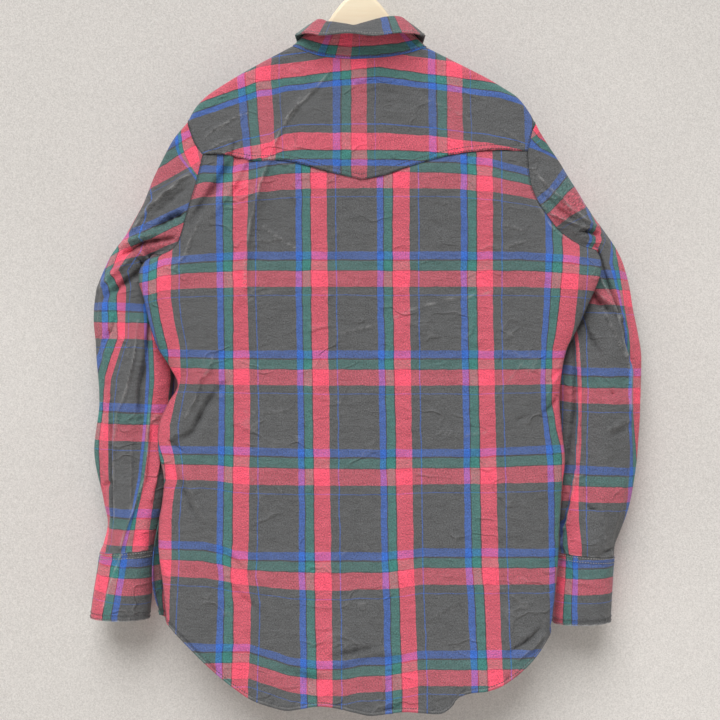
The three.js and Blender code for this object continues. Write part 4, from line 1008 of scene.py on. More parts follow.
def pucker(grid, normal, sides):
    """Small uneven ripples beside sewn edges, lower beside upright ones."""
    total = np.zeros(grid.shape[:2])
    along = grid[..., 0] + grid[..., 2] * 0.7
    ripple = np.sin(along / 1.9 + 1.3 * np.sin(along / 11)) + 0.6 * np.sin(along / 3.7 + 2)
    for name in sides:
        gap = gap_to(grid, name)
        height = PUCKER * (1 if name in ("top", "low") else 0.35)
        total += height * ripple * smooth(gap / 1.5) * np.exp(-((gap - 2) / PUCKER_REACH) ** 2)
    return grid + normal * total[..., None]


def finish_torso(name, side, grid, from_edge, table, phase, chart, ply, sewn, worn, hemmed=False):
    """Torso piece from its plain grid: creases, puckers, hem or seam allowance, and shading."""
    grid, pale = dress(side, grid, from_edge, table, phase)
    normal = facing(grid, False, (0, side, 0))
    grid = pucker(grid, normal, sewn)
    thick = np.full(grid.shape[:2], float(ply))
    gap = gap_to(grid, "low")
    if hemmed:
        fold = smooth((HEM_WIDTH - gap) / 1.2)
        ripple = np.sin(grid[..., 0] / 2.3 + 1.6 * np.sin(grid[..., 0] / 9)) * np.exp(-((gap - HEM_LINE) / 4) ** 2)
        grid = grid + normal * (1.1 * fold + 0.9 * ripple)[..., None]
        thick += 1.3 * fold
        sunk = np.exp(-(gap_to(grid, "top") / 3) ** 2)
        grid = grid - normal * (0.5 * sunk)[..., None]
    else:
        grid = grid + normal * (0.9 * smooth((8 - gap) / 3) * smooth(from_edge / 6))[..., None]
    normal = facing(grid, False, (0, side, 0))
    pale = lighter(pale, edge_pale(grid, worn, 2.6, 1.6) if hemmed else edge_pale(grid, worn, 1.2, 0.2))
    pale = seam_shade(grid, sewn, pale)
    if hemmed:
        # Painted shade line along the hem's fold
        pale = np.where(np.abs(gap_to(grid, "low") - HEM_LINE) < 0.9, -0.8, pale)
    cloth(name, grid, normal, thick, chart, pale)


def build_back_yoke():
    top = join(curve(RIDGE_LEFT[::-1], even(RIDGE_COLS)), curve(BACK_NECK, even(NECK_COLS)),
               curve(RIDGE_RIGHT, even(RIDGE_COLS)))
    flat = panel(top, YOKE_SEAM, ARM_LEFT["yoke"], ARM_RIGHT["yoke"])
    grid, from_edge = torso(1, flat, True, True)
    grid[0, :, 1] += SEAM / 2
    grid[-1, :, 2] += SEAM / 2
    x, z = grid[..., 0], grid[..., 2]
    turned = turned_away(facing(grid, False, (0, 1, 0)), 1)
    along = unroll(spread(YOKE_ALONG, z, x, 1), grid, turned, 0, YOKE_MIDDLE)
    down = spread(YOKE_DOWN, x, z, 0)
    edge = np.minimum(from_edge, gap_to(grid, "top"))
    finish_torso("back_yoke", 1, grid, edge, YOKE_CREASES, 2.0, np.stack([along, down], -1), YOKE_PLY,
                 ("low", "left", "right"), ("low",))


def build_back_body():
    left, right = join(ARM_LEFT["body"], SIDE_LEFT_BACK), join(ARM_RIGHT["body"], SIDE_RIGHT_LINE)
    flat = panel(YOKE_SEAM, curve(BACK_HEM, even(BACK_COLS)), left, right)
    grid, from_edge = torso(1, flat, True, True)
    grid[0, :, 2] -= SEAM / 2
    grid[ARM_ROWS:, 0, 1] += SEAM / 2
    grid[ARM_ROWS:, -1, 1] += SEAM / 2
    x, z = grid[..., 0], grid[..., 2]
    turned = turned_away(facing(grid, False, (0, 1, 0)), 1)
    down = unroll(spread(BACK_WARP, x, z, 0), grid, turned, 1, BACK_COLS // 2)
    along = spread(BACK_WEFT, z, x, 1)
    finish_torso("back_body", 1, grid, from_edge, BACK_CREASES, 0.6, np.stack([down, along], -1), CLOTH,
                 ("top", "low", "left", "right"), ("low",), True)


def build_fronts():
    for name in ("left", "right"):
        left = name == "left"
        arm = ARM_LEFT if left else ARM_RIGHT
        ridge_edge = curve(RIDGE_LEFT[::-1] if left else RIDGE_RIGHT, even(FRONT_COLS - NECK_FRONT_COLS))
        neck_edge = curve(FRONT_NECK_LEFT if left else FRONT_NECK_RIGHT, even(NECK_FRONT_COLS))
        top = join(ridge_edge, neck_edge) if left else join(neck_edge, ridge_edge)
        seam = curve(FRONT_YOKE_LEFT if left else FRONT_YOKE_RIGHT, even(FRONT_COLS))
        lap = -LAP_HALF if left else LAP_HALF
        lap_yoke = np.column_stack([np.full(YOKE_ROWS + 1, lap), mix(LAP_TOP, LAP_SEAM, YOKE_STEPS)])
        flat = panel(top, seam, arm["yoke"], lap_yoke) if left else panel(top, seam, lap_yoke, arm["yoke"])
        drop = None if left else lap_drop
        grid, from_edge = torso(-1, flat, left, not left, drop)
        ridge_part = slice(0, FRONT_COLS - NECK_FRONT_COLS + 1) if left else slice(NECK_FRONT_COLS, None)
        grid[0, ridge_part, 1] -= SEAM / 2
        grid[-1, :, 2] += SEAM / 2
        x, z = grid[..., 0], grid[..., 2]
        turned = turned_away(facing(grid, False, (0, -1, 0)), -1)
        down = unroll(z + FRONT_YOKE_DOWN, grid, turned, 0, YOKE_MIDDLE)
        chart = np.stack([down, FRONT_YOKE_ACROSS - x], -1)
        edge = np.minimum(from_edge, gap_to(grid, "top"))
        finish_torso("front_yoke_" + name, -1, grid, edge, FRONT_CREASES, 3.0, chart, CLOTH, ("low", name), ("low",))
        side = join(arm["body"], SIDE_LEFT_FRONT if left else SIDE_RIGHT_LINE)
        lap_body = np.column_stack([np.full(len(side), lap), np.linspace(LAP_SEAM, LAP_LOW, len(side))])
        hem = curve(FRONT_HEM_LEFT if left else FRONT_HEM_RIGHT, even(FRONT_COLS))
        flat = panel(seam, hem, side, lap_body) if left else panel(seam, hem, lap_body, side)
        grid, from_edge = torso(-1, flat, left, not left, drop)
        grid[0, :, 2] -= SEAM / 2
        grid[ARM_ROWS:, 0 if left else -1, 1] -= SEAM / 2
        turned = turned_away(facing(grid, False, (0, -1, 0)), -1)
        x, z = grid[..., 0], grid[..., 2]
        down = unroll(-x - FRONT_DOWN[name], grid, turned, 1, FRONT_COLS // 2)
        chart = np.stack([down, -z - FRONT_ACROSS], -1)
        edge = np.minimum(from_edge, np.maximum(np.abs(x) - BAND_HALF - 3, 0))
        finish_torso("front_body_" + name, -1, grid, edge, FRONT_CREASES, 3.6, chart, CLOTH,
                     ("top", "low", name), ("low",), True)


def build_front_band():
    x, z = np.meshgrid(np.linspace(BAND_HALF, -BAND_HALF, BAND_COLS), np.linspace(BAND_TOP, BAND_LOW, BAND_ROWS))
    y = depth(-1, x, z, np.full_like(x, OPEN)) - SEAM - BAND_PLY - 0.15
    y -= 0.5 * np.exp(-((np.abs(x) - BAND_HALF + 3) / 2) ** 2)
    grid = np.stack([x, y, z], -1)
    chart = np.stack([-x - FRONT_DOWN["right"], -z - FRONT_ACROSS], -1)
    cloth("front_band", grid, facing(grid, False, (0, -1, 0)), BAND_PLY, chart,
          edge_pale(grid, ("left", "right", "low")))


def arm_loop(line, out):
    """Armhole edge of a sleeve, from the underarm up the back to the shoulder and down the front."""
    x, z = line[:, 0], line[:, 1]
    halves = [np.column_stack([x, depth(side, x, z, np.zeros_like(x)), z]) + out * SLEEVE_SEAM for side in (1, -1)]
    return np.vstack([halves[0][::-1], halves[1][1:-1]])


def oval(row, share, ripple):
    """Ring of a sleeve section, up its back and down its front; share is 0 at the outer edge and 1 at the inner."""
    ox, oz, ix, iz, cy, half = row
    back = len(share) // 2 + 1
    angle = np.pi * share * np.concatenate([np.ones(back), -np.ones(len(share) - back)])
    swell = 1 + ripple * np.cos(5 * angle + 0.8) + ripple * 0.6 * np.cos(9 * angle)
    across = 0.5 * np.cos(angle) * swell
    return np.column_stack([(ox + ix) / 2 + (ox - ix) * across, cy + half * np.sin(angle) * swell,
                            (oz + iz) / 2 + (oz - iz) * across])


def sleeve_rings(table, line, out):
    """Plain rings of a sleeve, from its armhole down to its cuff."""
    first = arm_loop(line, out)
    rows = np.array(table, float)
    arm_share = shares(line)
    half = np.arange(len(line)) / (len(line) - 1)
    full = np.vstack([2 * rows[0] - rows[1], rows, 2 * rows[-1] - rows[-2]])
    rings = []
    for k in np.linspace(0, len(rows) - 1, SLEEVE_ROWS):
        i = min(int(k), len(rows) - 2)
        t = k - i
        p0, p1, p2, p3 = full[i:i + 4]
        row = p1 + 0.5 * t * (p2 - p0 + t * (2 * p0 - 5 * p1 + 4 * p2 - p3 + t * (3 * (p1 - p2) + p3 - p0)))
        share = around(mix(arm_share, half, smooth(k / 5)))
        ripple = 0.035 * smooth((k - 3) / 4) * (1 - 0.7 * smooth((k - 14) / 3))
        ring = oval(row, share, ripple)
        near = smooth(1 - k / 3.2)
        top = np.array([row[0] - rows[0][0], row[4], row[1] - rows[0][1]])
        low = np.array([row[2] - rows[0][2], row[4], row[3] - rows[0][3]])
        moved = first + mix(top, low, share[:, None])
        rings.append(mix(ring, moved, near))
    return np.array(rings)


def ring_chart(grid, normal, down, across):
    """Place of a tube's cloth in the check, carried round it from the middle of its back."""
    grid = np.concatenate([grid, grid[:, :1]], axis=1)
    normal = np.concatenate([normal, normal[:, :1]], axis=1)
    u = spread(down, grid[..., 0], grid[..., 2], 0)
    u = unroll(u, grid, turned_away(normal, 1), 1, grid.shape[1] // 4)
    return np.stack([u, spread(across, grid[..., 2], grid[..., 0], 1)], -1)


SLEEVES = (
    ("left", SLEEVE_LEFT, LOOP_LEFT, 1, CUFF_LEFT, LEFT_DOWN, LEFT_ACROSS, LEFT_CREASES, CUFF_LEFT_DOWN),
    ("right", SLEEVE_RIGHT, LOOP_RIGHT, -1, CUFF_RIGHT, RIGHT_DOWN, RIGHT_ACROSS, RIGHT_CREASES, CUFF_RIGHT_DOWN),
)


def build_sleeves():
    for name, table, line, side, _, down, across, folds, _ in SLEEVES:
        out = outward(line, side)
        plain = sleeve_rings(table, line, out)
        normal = facing(plain, True, None)
        chart = ring_chart(plain, normal, down, across)
        x, z = plain[..., 0], plain[..., 2]
        height, pale = creases(folds, x, z)
        seen = smooth((normal[..., 1] + 0.1) / 0.5)
        ends = np.minimum(gap_to(plain, "top"), gap_to(plain, "low"))
        fade = smooth(ends / 12)
        long_folds = 1.3 * np.sin(x / 7.5 + z / 90) * smooth((-430 - z) / 80)
        lift = (height * seen + 1.6 * undulation(x, z, 5.0 + side) + long_folds) * fade
        lift += 0.9 * np.sin(x / 2.9 + 0.7 * np.sin(x / 8)) * np.exp(-(gap_to(plain, "low") / 22) ** 2)
        grid = plain + normal * lift[..., None]
        grid[0], grid[-1] = plain[0], plain[-1]
        normal = facing(grid, True, None)
        normal[-1] = square_to(normal[-1], np.array([0, 0, 1.0]))
        normal[0] = square_to(normal[0], around(out))
        pale = lighter(pale * seen, edge_pale(grid, ("low",), 2.0, 0.4))
        cloth("sleeve_" + name, grid, normal, CLOTH, chart, pale, True)


# Distance of a cuff's painted shade lines from its upper and lower edges, and the crease across the left cuff
CUFF_LINES = {"top": 8.4, "low": 5.6}
CUFF_CREASE = (3, 1, 0.9, [(304, -781), (318, -815), (331, -858)])


def build_cuffs():
    for name, table, line, side, cuff_row, _, _, _, down in SLEEVES:
        end = sleeve_rings(table, line, outward(line, side))[-1]
        close = oval(cuff_row, around(even(len(line) - 1)), 0)
        t = even(CUFF_ROWS)[:, None, None]
        grid = mix(end[None], close[None], t)
        grid[..., 2] -= SEAM * (1 - t[..., 0])
        normal = facing(grid, True, None)
        chart = ring_chart(grid, normal, down, CUFF_ACROSS)
        x, z = grid[..., 0], grid[..., 2]
        lift = 0.6 * undulation(x * 1.3, z * 1.3, 8.0 + side)
        for edge in ("top", "low"):
            gap = gap_to(grid, edge)
            lift += 0.5 * np.sin(x / 2.1 + np.sin(x / 9)) * smooth(gap / 2) * np.exp(-((gap - 3) / 8) ** 2)
        fade = smooth(np.minimum(t[..., 0] * 90, (1 - t[..., 0]) * 300) / 3)
        grid = grid + normal * (lift * fade)[..., None]
        normal = facing(grid, True, None)
        normal[0] = square_to(normal[0], np.array([0, 0, 1.0]))
        # Worn pale lower edge, painted shade along the top seam, and painted shade lines near both edges
        pale = seam_shade(grid, ("top",), edge_pale(grid, ("low",), 1.6, 1.4))
        for edge, distance in CUFF_LINES.items():
            pale = np.where(np.abs(gap_to(grid, edge) - distance) < 1.4, -0.6, pale)
        if name == "left":
            pale = np.maximum(pale, creases([CUFF_CREASE], x, z)[1])
        cloth("cuff_" + name, grid, normal, CUFF_PLY, chart, pale, True)


# Collar

# Half width, half depth and centre of the neck's ring, and points on each part of it
NECK_HALF = (89, 30)
NECK_CENTRE = -3
FRONT_NECK_STEPS = 46
BACK_NECK_STEPS = 72
# Top edge of the stand: half width, half depth at the back and front, and height at the sides, back and front
STAND_HALF = (57, 27, 33)
STAND_HEIGHTS = (-108, -118, -170)
STAND_ROWS = 12
LEAF_ROWS = 14
# Place of the stand and leaf in the check
STAND_PLACE = (3.2, 54.6)
LEAF_PLACE = (-5, -30.4)


def ring_out(p):
    """Level directions away from the neck."""
    wide, deep = NECK_HALF
    return unit(np.column_stack([p[:, 0] / wide ** 2, (p[:, 1] - NECK_CENTRE) / deep ** 2, np.zeros(len(p))]))


def from_back_middle(ring, turn):
    """Length round the neck from the middle of the back."""
    run = run_along(ring)
    return run - run[np.argmin(np.abs(turn - 0.5))]


def neck_ring():
    """Neck edge from the wearer's left lap round the back to the right lap, its upward directions and turns."""
    front_steps = (0, 0.04, 0.12, 0.26, 0.44, 0.63, 0.82, 1)
    lines = [curve(FRONT_NECK_LEFT, even(FRONT_NECK_STEPS))[::-1], curve(BACK_NECK, even(BACK_NECK_STEPS)),
             curve(FRONT_NECK_RIGHT[::-1], even(FRONT_NECK_STEPS))]
    points, rises = [], []
    for k, line in enumerate(lines):
        x, z = line[:, 0], line[:, 1]
        y = depth(1 if k == 1 else -1, x, z, np.full_like(x, OPEN))
        y = y + (SEAM / 2 if k == 1 else 0) + (lap_drop(x) if k == 2 else 0)
        points.append(np.column_stack([x, y, z]))
        rises.append(outward(line, -1 if k == 1 else 1))
    corners = unit(rises[0][-1] + rises[1][0]), unit(rises[1][-1] + rises[2][0])
    rises[0][-1], rises[1][-1] = corners
    index_front = np.interp(even(FRONT_NECK_STEPS), front_steps, np.arange(8))
    index_back = 7 + 12 * np.arccos(1 - 2 * even(BACK_NECK_STEPS)) / np.pi
    index = np.concatenate([7 - index_front[::-1], index_back[1:], 19 + index_front[1:]])
    return join(*points), unit(join(*rises)), index / 26


def stand_edges():
    """Neck ring, its upward directions, turns and outward directions, and the low and high edges of the stand."""
    ring, rises, turn = neck_ring()
    out = ring_out(ring)
    low = ring + rises * (SEAM + 0.3) + out * (0.9 * smooth(1 - turn / 0.2))[:, None]
    angle = np.arctan2((ring[:, 1] - NECK_CENTRE) / NECK_HALF[1], ring[:, 0] / NECK_HALF[0])
    sine = np.sin(angle)
    wide, back, front = STAND_HALF
    y = np.where(sine > 0, back * sine, front * sine)
    side_z, back_z, front_z = STAND_HEIGHTS
    z = mix(side_z, np.where(sine > 0, back_z, front_z), np.abs(sine) ** 1.6)
    high = np.column_stack([wide * np.cos(angle), y, z]) + out * (2.3 * (1 - turn))[:, None]
    return ring, rises, turn, out, low, high


def build_collar_stand():
    ring, rises, turn, out, low, high = stand_edges()
    grid = mix(low[None], high[None], even(STAND_ROWS)[:, None, None])
    normal = normals(grid, False)
    if (normal[6] * out).sum() < 0:
        normal = -normal
    normal[0] = square_to(normal[0], rises)
    bend = 0.35 * undulation(grid[..., 0] * 1.6, grid[..., 2] * 1.6, 1.0) * smooth(even(STAND_ROWS) * 4)[:, None]
    grid = grid + normal * bend[..., None]
    along = np.broadcast_to(from_back_middle(ring, turn) + STAND_PLACE[1], grid.shape[:2])
    up = STAND_PLACE[0] + gap_to(grid, "top")
    cloth("collar_stand", grid, normal, COLLAR_PLY, np.stack([up, along], -1), edge_pale(grid, ("left", "right")))


def build_collar_leaf():
    ring, _, turn, out, low, high = (values[3:-3] for values in stand_edges())
    up = unit(high - low)
    steps = np.abs(2 * turn - 1)
    reach = np.interp(steps, *np.array([row[:2] for row in LEAF]).T)
    drop = np.interp(steps, *np.array([(row[0], row[2]) for row in LEAF]).T)
    back = smooth((ring[:, 1] + 8) / 14)
    rise = np.interp(high[:, 0], *np.array(LEAF_RISE).T) * back
    lift = np.array([0, 0, 1.0])
    rows = [high + out * u + up * v + lift * (rise * min(1, 0.25 * k))[:, None]
            for k, (u, v) in enumerate(LEAF_FOLD)]
    near = rows[-1]
    far = high + out * reach[:, None] - lift * drop[:, None]
    far = far + lift * (1.6 * np.sin(ring[:, 0] / 13) * back)[:, None]
    for t in even(LEAF_ROWS)[1:]:
        fall = mix(near, far, t)
        fall[:, 2] = mix(near[:, 2], far[:, 2], t ** 1.15)
        rows.append(fall)
    grid = np.array(rows)
    normal = normals(grid, False)
    if (normal[10] * out).sum() < 0:
        normal = -normal
    bend = 0.5 * undulation(grid[..., 0] * 1.4, grid[..., 2] * 1.4, 2.0)
    bend *= smooth((np.arange(len(rows)) - 4) / 5)[:, None]
    grid = grid + normal * bend[..., None]
    along = np.broadcast_to(from_back_middle(ring, turn) * 0.77 + LEAF_PLACE[1], grid.shape[:2])
    cloth("collar_leaf", grid, normal, COLLAR_PLY, np.stack([LEAF_PLACE[0] - run_down(grid), along], -1),
          edge_pale(grid, ("low", "left", "right"), 1.4, 0.3))


# Hanger

def chaikin(line, rounds=3):
    """Closed outline with its corners cut soft."""
    for _ in range(rounds):
        ahead = np.roll(line, -1, axis=0)
        line = np.stack([mix(line, ahead, 0.25), mix(line, ahead, 0.75)], 1).reshape(-1, 2)
    return line


def line_data(name, dimensions, points, closed):
    """Curve straight from point to point."""
    data = bpy.data.curves.new(name, "CURVE")
    data.dimensions = dimensions
    spline = data.splines.new("POLY")
    spline.points.add(len(points) - 1)
    for point, (x, y, z) in zip(spline.points, points):
        point.co = (x * MM, y * MM, z * MM, 1)
    spline.use_cyclic_u = closed
    return data


def from_curve(name, data, turn_up):
    """Mesh of a curve's body; turn_up stands a curve drawn flat upright."""
    temp = linked(name + "_line", data)
    bpy.context.view_layer.update()
    mesh = bpy.data.meshes.new_from_object(temp.evaluated_get(bpy.context.evaluated_depsgraph_get()))
    bpy.data.objects.remove(temp)
    bpy.data.curves.remove(data)
    mesh.name = name
    if turn_up:
        co = np.empty(len(mesh.vertices) * 3, np.float32)
        mesh.vertices.foreach_get("co", co)
        co = co.reshape(-1, 3)
        mesh.vertices.foreach_set("co", np.column_stack([co[:, 0], -co[:, 2], co[:, 1]]).ravel())
        mesh.update()
    mesh.shade_smooth()
    mesh.set_sharp_from_angle(angle=math.radians(45))
    return linked(name, mesh)


# Hanger: distance of its top below the shoulders' ridge, half thickness between its rounded edges, their radius,
# radius of the hook's wire and of its bend
HANGER_DROP = 4.4
HANGER_HALF = 2.4
HANGER_ROUND = 4.6
WIRE = 1.7
HOOK_BEND = 19


def hanger_top(x):
    """Top edge of an arm of the hanger under the shoulder's ridge."""
    z = np.interp(x, RIDGE[:, 0], RIDGE[:, 1]) - HANGER_DROP - 3 * smooth((np.abs(x) - 150) / 40)
    return np.column_stack([x, z])


def build_hanger():
    xs = np.array([92, 110, 130, 150, 168, 182, 192.0])
    under = [(-150, -215), (-95, -187), (-40, -170), (0, -166), (40, -170), (95, -187), (150, -213)]
    neck_right = [(0, -67), (-13, -70), (-24, -79), (-35, -93), (-45, -109), (-55, -125), (-70, -138)]
    neck_left = [(70, -138), (55, -125), (45, -109), (35, -93), (24, -79), (13, -70)]
    outline = np.vstack([
        neck_right, hanger_top(-xs), [(-199, -211), (-200, -219), (-193, -226), (-180, -225)], under,
        [(180, -224), (193, -226), (200, -220), (199, -212)], hanger_top(xs[::-1]), neck_left])
    data = line_data("hanger", "2D", [(x, z, 0) for x, z in chaikin(outline)], True)
    data.fill_mode = "BOTH"
    data.extrude = HANGER_HALF * MM
    data.bevel_depth = HANGER_ROUND * MM
    data.offset = -HANGER_ROUND * MM
    data.bevel_resolution = 4
    body = from_curve("wooden_hanger", data, True)
    angles = np.linspace(-0.7, math.pi * 1.03, 8)
    path = [(0, -68), (0, -56), (2, -46), (10, -38)]
    path += [(HOOK_BEND * math.cos(a), WIRE - HOOK_BEND + HOOK_BEND * math.sin(a)) for a in angles]
    data = line_data("hook", "3D", [(x, 0, z) for x, z in curve(path, even(90))], False)
    data.bevel_depth = WIRE * MM
    data.bevel_resolution = 5
    data.use_fill_caps = True
    hook = from_curve("hanger_wire_hook", data, False)
    for obj, colour, name, slot in ((body, "wood", "hanger_body", "pale_wood"),
                                    (hook, "wire", "hanger_hook", "hook_wire")):
        obj.data.materials.clear()
        obj.data.materials.append(material(colour))
        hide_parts(name)
        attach(obj, "root")


# Snaps

SNAP_PROFILE = [(0, 0), (5.6, 0), (5.7, 0.5), (5.4, 1.15), (4.9, 1.35), (4.5, 1.1), (4.4, 0.95), (4.2, 1.35),
                (3.6, 1.95), (2.7, 2.45), (1.5, 2.8), (0, 2.95)]
SNAP_SEGMENTS = 32
# Radius of the pearl inside its rim, and the height it starts at
PEARL_RADIUS = 4.45
PEARL_SEAT = 0.9


def build_snaps():
    names = [f"snap_front_{i + 1}" for i in range(SNAP_COUNT)] + ["snap_collar"]
    names += [f"snap_cuff_{side}_{i}" for side in ("left", "right") for i in (1, 2)]
    turn = np.linspace(0, 2 * np.pi, SNAP_SEGMENTS, endpoint=False)
    rings = len(SNAP_PROFILE) - 2

    def ring(k, i):
        return 1 + k * SNAP_SEGMENTS + i % SNAP_SEGMENTS

    for name in names:
        low, high = (np.array(corner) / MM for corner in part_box(name))
        centre = (low + high) / 2
        seat = high[1]
        points = [centre + (0, seat - centre[1], 0)]
        for r, h in SNAP_PROFILE[1:-1]:
            points += [(centre[0] + r * math.cos(a), seat - h, centre[2] + r * math.sin(a)) for a in turn]
        points.append((centre[0], seat - SNAP_PROFILE[-1][1], centre[2]))
        faces = []
        for i in range(SNAP_SEGMENTS):
            faces.append((0, ring(0, i), ring(0, i + 1)))
            faces.append((len(points) - 1, ring(rings - 1, i + 1), ring(rings - 1, i)))
        for k in range(rings - 1):
            faces += [(ring(k, i), ring(k + 1, i), ring(k + 1, i + 1), ring(k, i + 1)) for i in range(SNAP_SEGMENTS)]
        mesh = bpy.data.meshes.new(name + "_cap")
        mesh.from_pydata([tuple(float(v) * MM for v in p) for p in points], [], faces)
        mesh.materials.append(material("rim"))
        mesh.materials.append(material("pearl"))
        for face in mesh.polygons:
            away = max(math.hypot(mesh.vertices[v].co.x - centre[0] * MM, mesh.vertices[v].co.z - centre[2] * MM)
                       for v in face.vertices)
            face.material_index = int(away < PEARL_RADIUS * MM and face.center.y < (seat - PEARL_SEAT) * MM)
            face.use_smooth = True
        mesh.update()
        obj = linked(name + "_cap", mesh)
        fix_normals(obj)
        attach(obj, "root")
        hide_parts(name)


def fix_normals(obj):
    """Turn every face outward."""
    work = bmesh.new()
    work.from_mesh(obj.data)
    bmesh.ops.recalc_face_normals(work, faces=work.faces)
    work.to_mesh(obj.data)
    work.free()


# Topstitching

# Height of the stitches above the cloth, and the share of their pitch that each fills
STITCH_LIFT = 0.3
STITCH_SHARE = 0.68
# Rows sewn in pale thread; the others are dark
PALE_ROWS = ("leaf_edge", "cuff_left_top", "cuff_right_top", "cuff_left_top_inner", "cuff_right_top_inner")
# Row, node, side of its grid, distance from that side, first and last share of the side
STITCH_ROWS = [
    ("yoke_seam", "back_yoke", "low", 1.6, 0, 1), ("yoke_seam_upper", "back_yoke", "low", 7.0, 0.02, 0.98),
    ("hem_back", "back_body", "low", 5.2, 0.004, 0.996),
    ("armhole_left", "back_body", "left", 1.8, 0.01, 0.27), ("armhole_right", "back_body", "right", 1.8, 0.01, 0.27),
    ("armhole_yoke_left", "back_yoke", "left", 1.8, 0.05, 0.98),
    ("armhole_yoke_right", "back_yoke", "right", 1.8, 0.05, 0.98),
    ("hem_front_left", "front_body_left", "low", 5.2, 0.01, 0.92),
    ("hem_front_right", "front_body_right", "low", 5.2, 0.08, 0.99),
    ("front_yoke_left", "front_yoke_left", "low", 1.6, 0.01, 0.92),
    ("front_yoke_right", "front_yoke_right", "low", 1.6, 0.08, 0.99),
    ("band_left", "front_band", "left", 2.0, 0, 1), ("band_right", "front_band", "right", 2.0, 0, 1),
    ("stand_low", "collar_stand", "low", 1.6, 0, 1), ("stand_neck", "collar_stand", "top", 2.2, 0, 1),
    ("leaf_edge", "collar_leaf", "low", 3.0, 0.005, 0.995),
]
STITCH_ROWS += [(f"cuff_{side}_{row}", "cuff_" + side, row[:3], distance, 0, 1) for side in ("left", "right")
                for row, distance in (("top", 2.0), ("top_inner", 7.5), ("low", 2.2), ("low_inner", 7.5))]


def inset(name, side, distance, start, end):
    """Line on a piece at a distance from one side of its grid, just above the cloth."""
    grid, normal = PIECES[name]
    if side in ("left", "right"):
        grid, normal = np.swapaxes(grid, 0, 1), np.swapaxes(normal, 0, 1)
    if side in ("low", "right"):
        grid, normal = grid[::-1], normal[::-1]
    run = run_down(grid)
    first, last = int(start * (grid.shape[1] - 1)), int(end * (grid.shape[1] - 1))
    line = []
    for c in range(first, last + 1):
        p = [np.interp(distance, run[:, c], grid[:, c, k]) for k in range(3)]
        n = [np.interp(distance, run[:, c], normal[:, c, k]) for k in range(3)]
        line.append(np.array(p) + STITCH_LIFT * np.array(n))
    return np.array(line)


def stitch_tree():
    """Geometry nodes: one row of short threads along a line."""
    tree, source, target = group_tree(
        "Topstitch", "GeometryNodeTree",
        {"Geometry": "Geometry", "Pitch": "Float", "Length": "Float", "Thickness": "Float", "Thread": "Material"},
        {"Geometry": "Geometry"})
    line = node(tree, "GeometryNodeMeshToCurve", {0: source["Geometry"]}).outputs[0]
    spaced = node(tree, "GeometryNodeResampleCurve", {0: line, "Length": source["Pitch"]}, mode="LENGTH")
    grain = node(tree, "GeometryNodeMeshUVSphere", {"Segments": 6, "Rings": 4, "Radius": 0.5})
    size = node(tree, "ShaderNodeCombineXYZ", {0: source["Length"], 1: source["Thickness"], 2: source["Thickness"]})
    shape = node(tree, "GeometryNodeTransform", {"Geometry": grain.outputs[0], "Scale": size.outputs[0]})
    tangent = node(tree, "GeometryNodeInputTangent").outputs[0]
    align = node(tree, "FunctionNodeAlignRotationToVector", {"Vector": tangent}, axis="X")
    place = node(tree, "GeometryNodeInstanceOnPoints", {
        "Points": spaced.outputs[0], "Instance": shape.outputs[0], "Rotation": align.outputs[0],
    })
    real = node(tree, "GeometryNodeRealizeInstances", {0: place.outputs[0]})
    painted = node(tree, "GeometryNodeSetMaterial", {"Geometry": real.outputs[0], "Material": source["Thread"]})
    feed(tree, target, {0: painted.outputs[0]})
    return tree


def build_stitches():
    tree = stitch_tree()
    sockets = {item.name: item.identifier for item in tree.interface.items_tree if item.in_out == "INPUT"}
    sizes = bpy.context.scene.shirt_sizes
    for name, piece, side, distance, start, end in STITCH_ROWS:
        line = inset(piece, side, distance, start, end) * MM
        mesh = bpy.data.meshes.new("stitch_" + name)
        mesh.from_pydata(line.tolist(), [(i, i + 1) for i in range(len(line) - 1)], [])
        obj = linked("stitch_" + name, mesh)
        modifier = obj.modifiers.new("stitches", "NODES")
        modifier.node_group = tree
        modifier[sockets["Pitch"]] = sizes.stitch_pitch
        modifier[sockets["Length"]] = sizes.stitch_pitch * STITCH_SHARE
        modifier[sockets["Thickness"]] = sizes.thread_thickness
        modifier[sockets["Thread"]] = material("thread" if name in PALE_ROWS else "dark_thread")
        bpy.context.view_layer.update()
        baked = bpy.data.meshes.new_from_object(obj.evaluated_get(bpy.context.evaluated_depsgraph_get()))
        obj.modifiers.clear()
        obj.data = baked
        if not len(baked.polygons):
            raise RuntimeError(f"no stitches were made along {name}")
        baked.shade_smooth()
        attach(obj, "root")


# Stage

# Stage in metres: the wall's place just in front of the shirt, half width and half depth of the floor,
# top of the wall and height of the floor
WALL_Y = -0.062
WIDE, DEEP, TALL, LOW = 14, 16, 5, -1.25
CAMERA_PLACE = (0.00064, 1.9, -0.5406)
CAMERA_LENS = 73.5


def plane(name, corners, colour):
    mesh = bpy.data.meshes.new(name)
    mesh.from_pydata(corners, [], [(0, 1, 2, 3)])
    mesh.materials.append(material(colour))
    obj = linked(name, mesh)


def lamp(name, place, aim, size, power, kind="AREA"):
    """Light aimed at a point; size is a disk's diameter, or the angle a sun fills."""
    data = bpy.data.lights.new(name, kind)
    data.energy = power
    if kind == "SUN":
        data.angle = size
    else:
        data.shape = "DISK"
        data.size = size
    obj = linked(name, data)
    obj.location = place
    obj.rotation_euler = (Vector(aim) - Vector(place)).to_track_quat("-Z", "Y").to_euler()


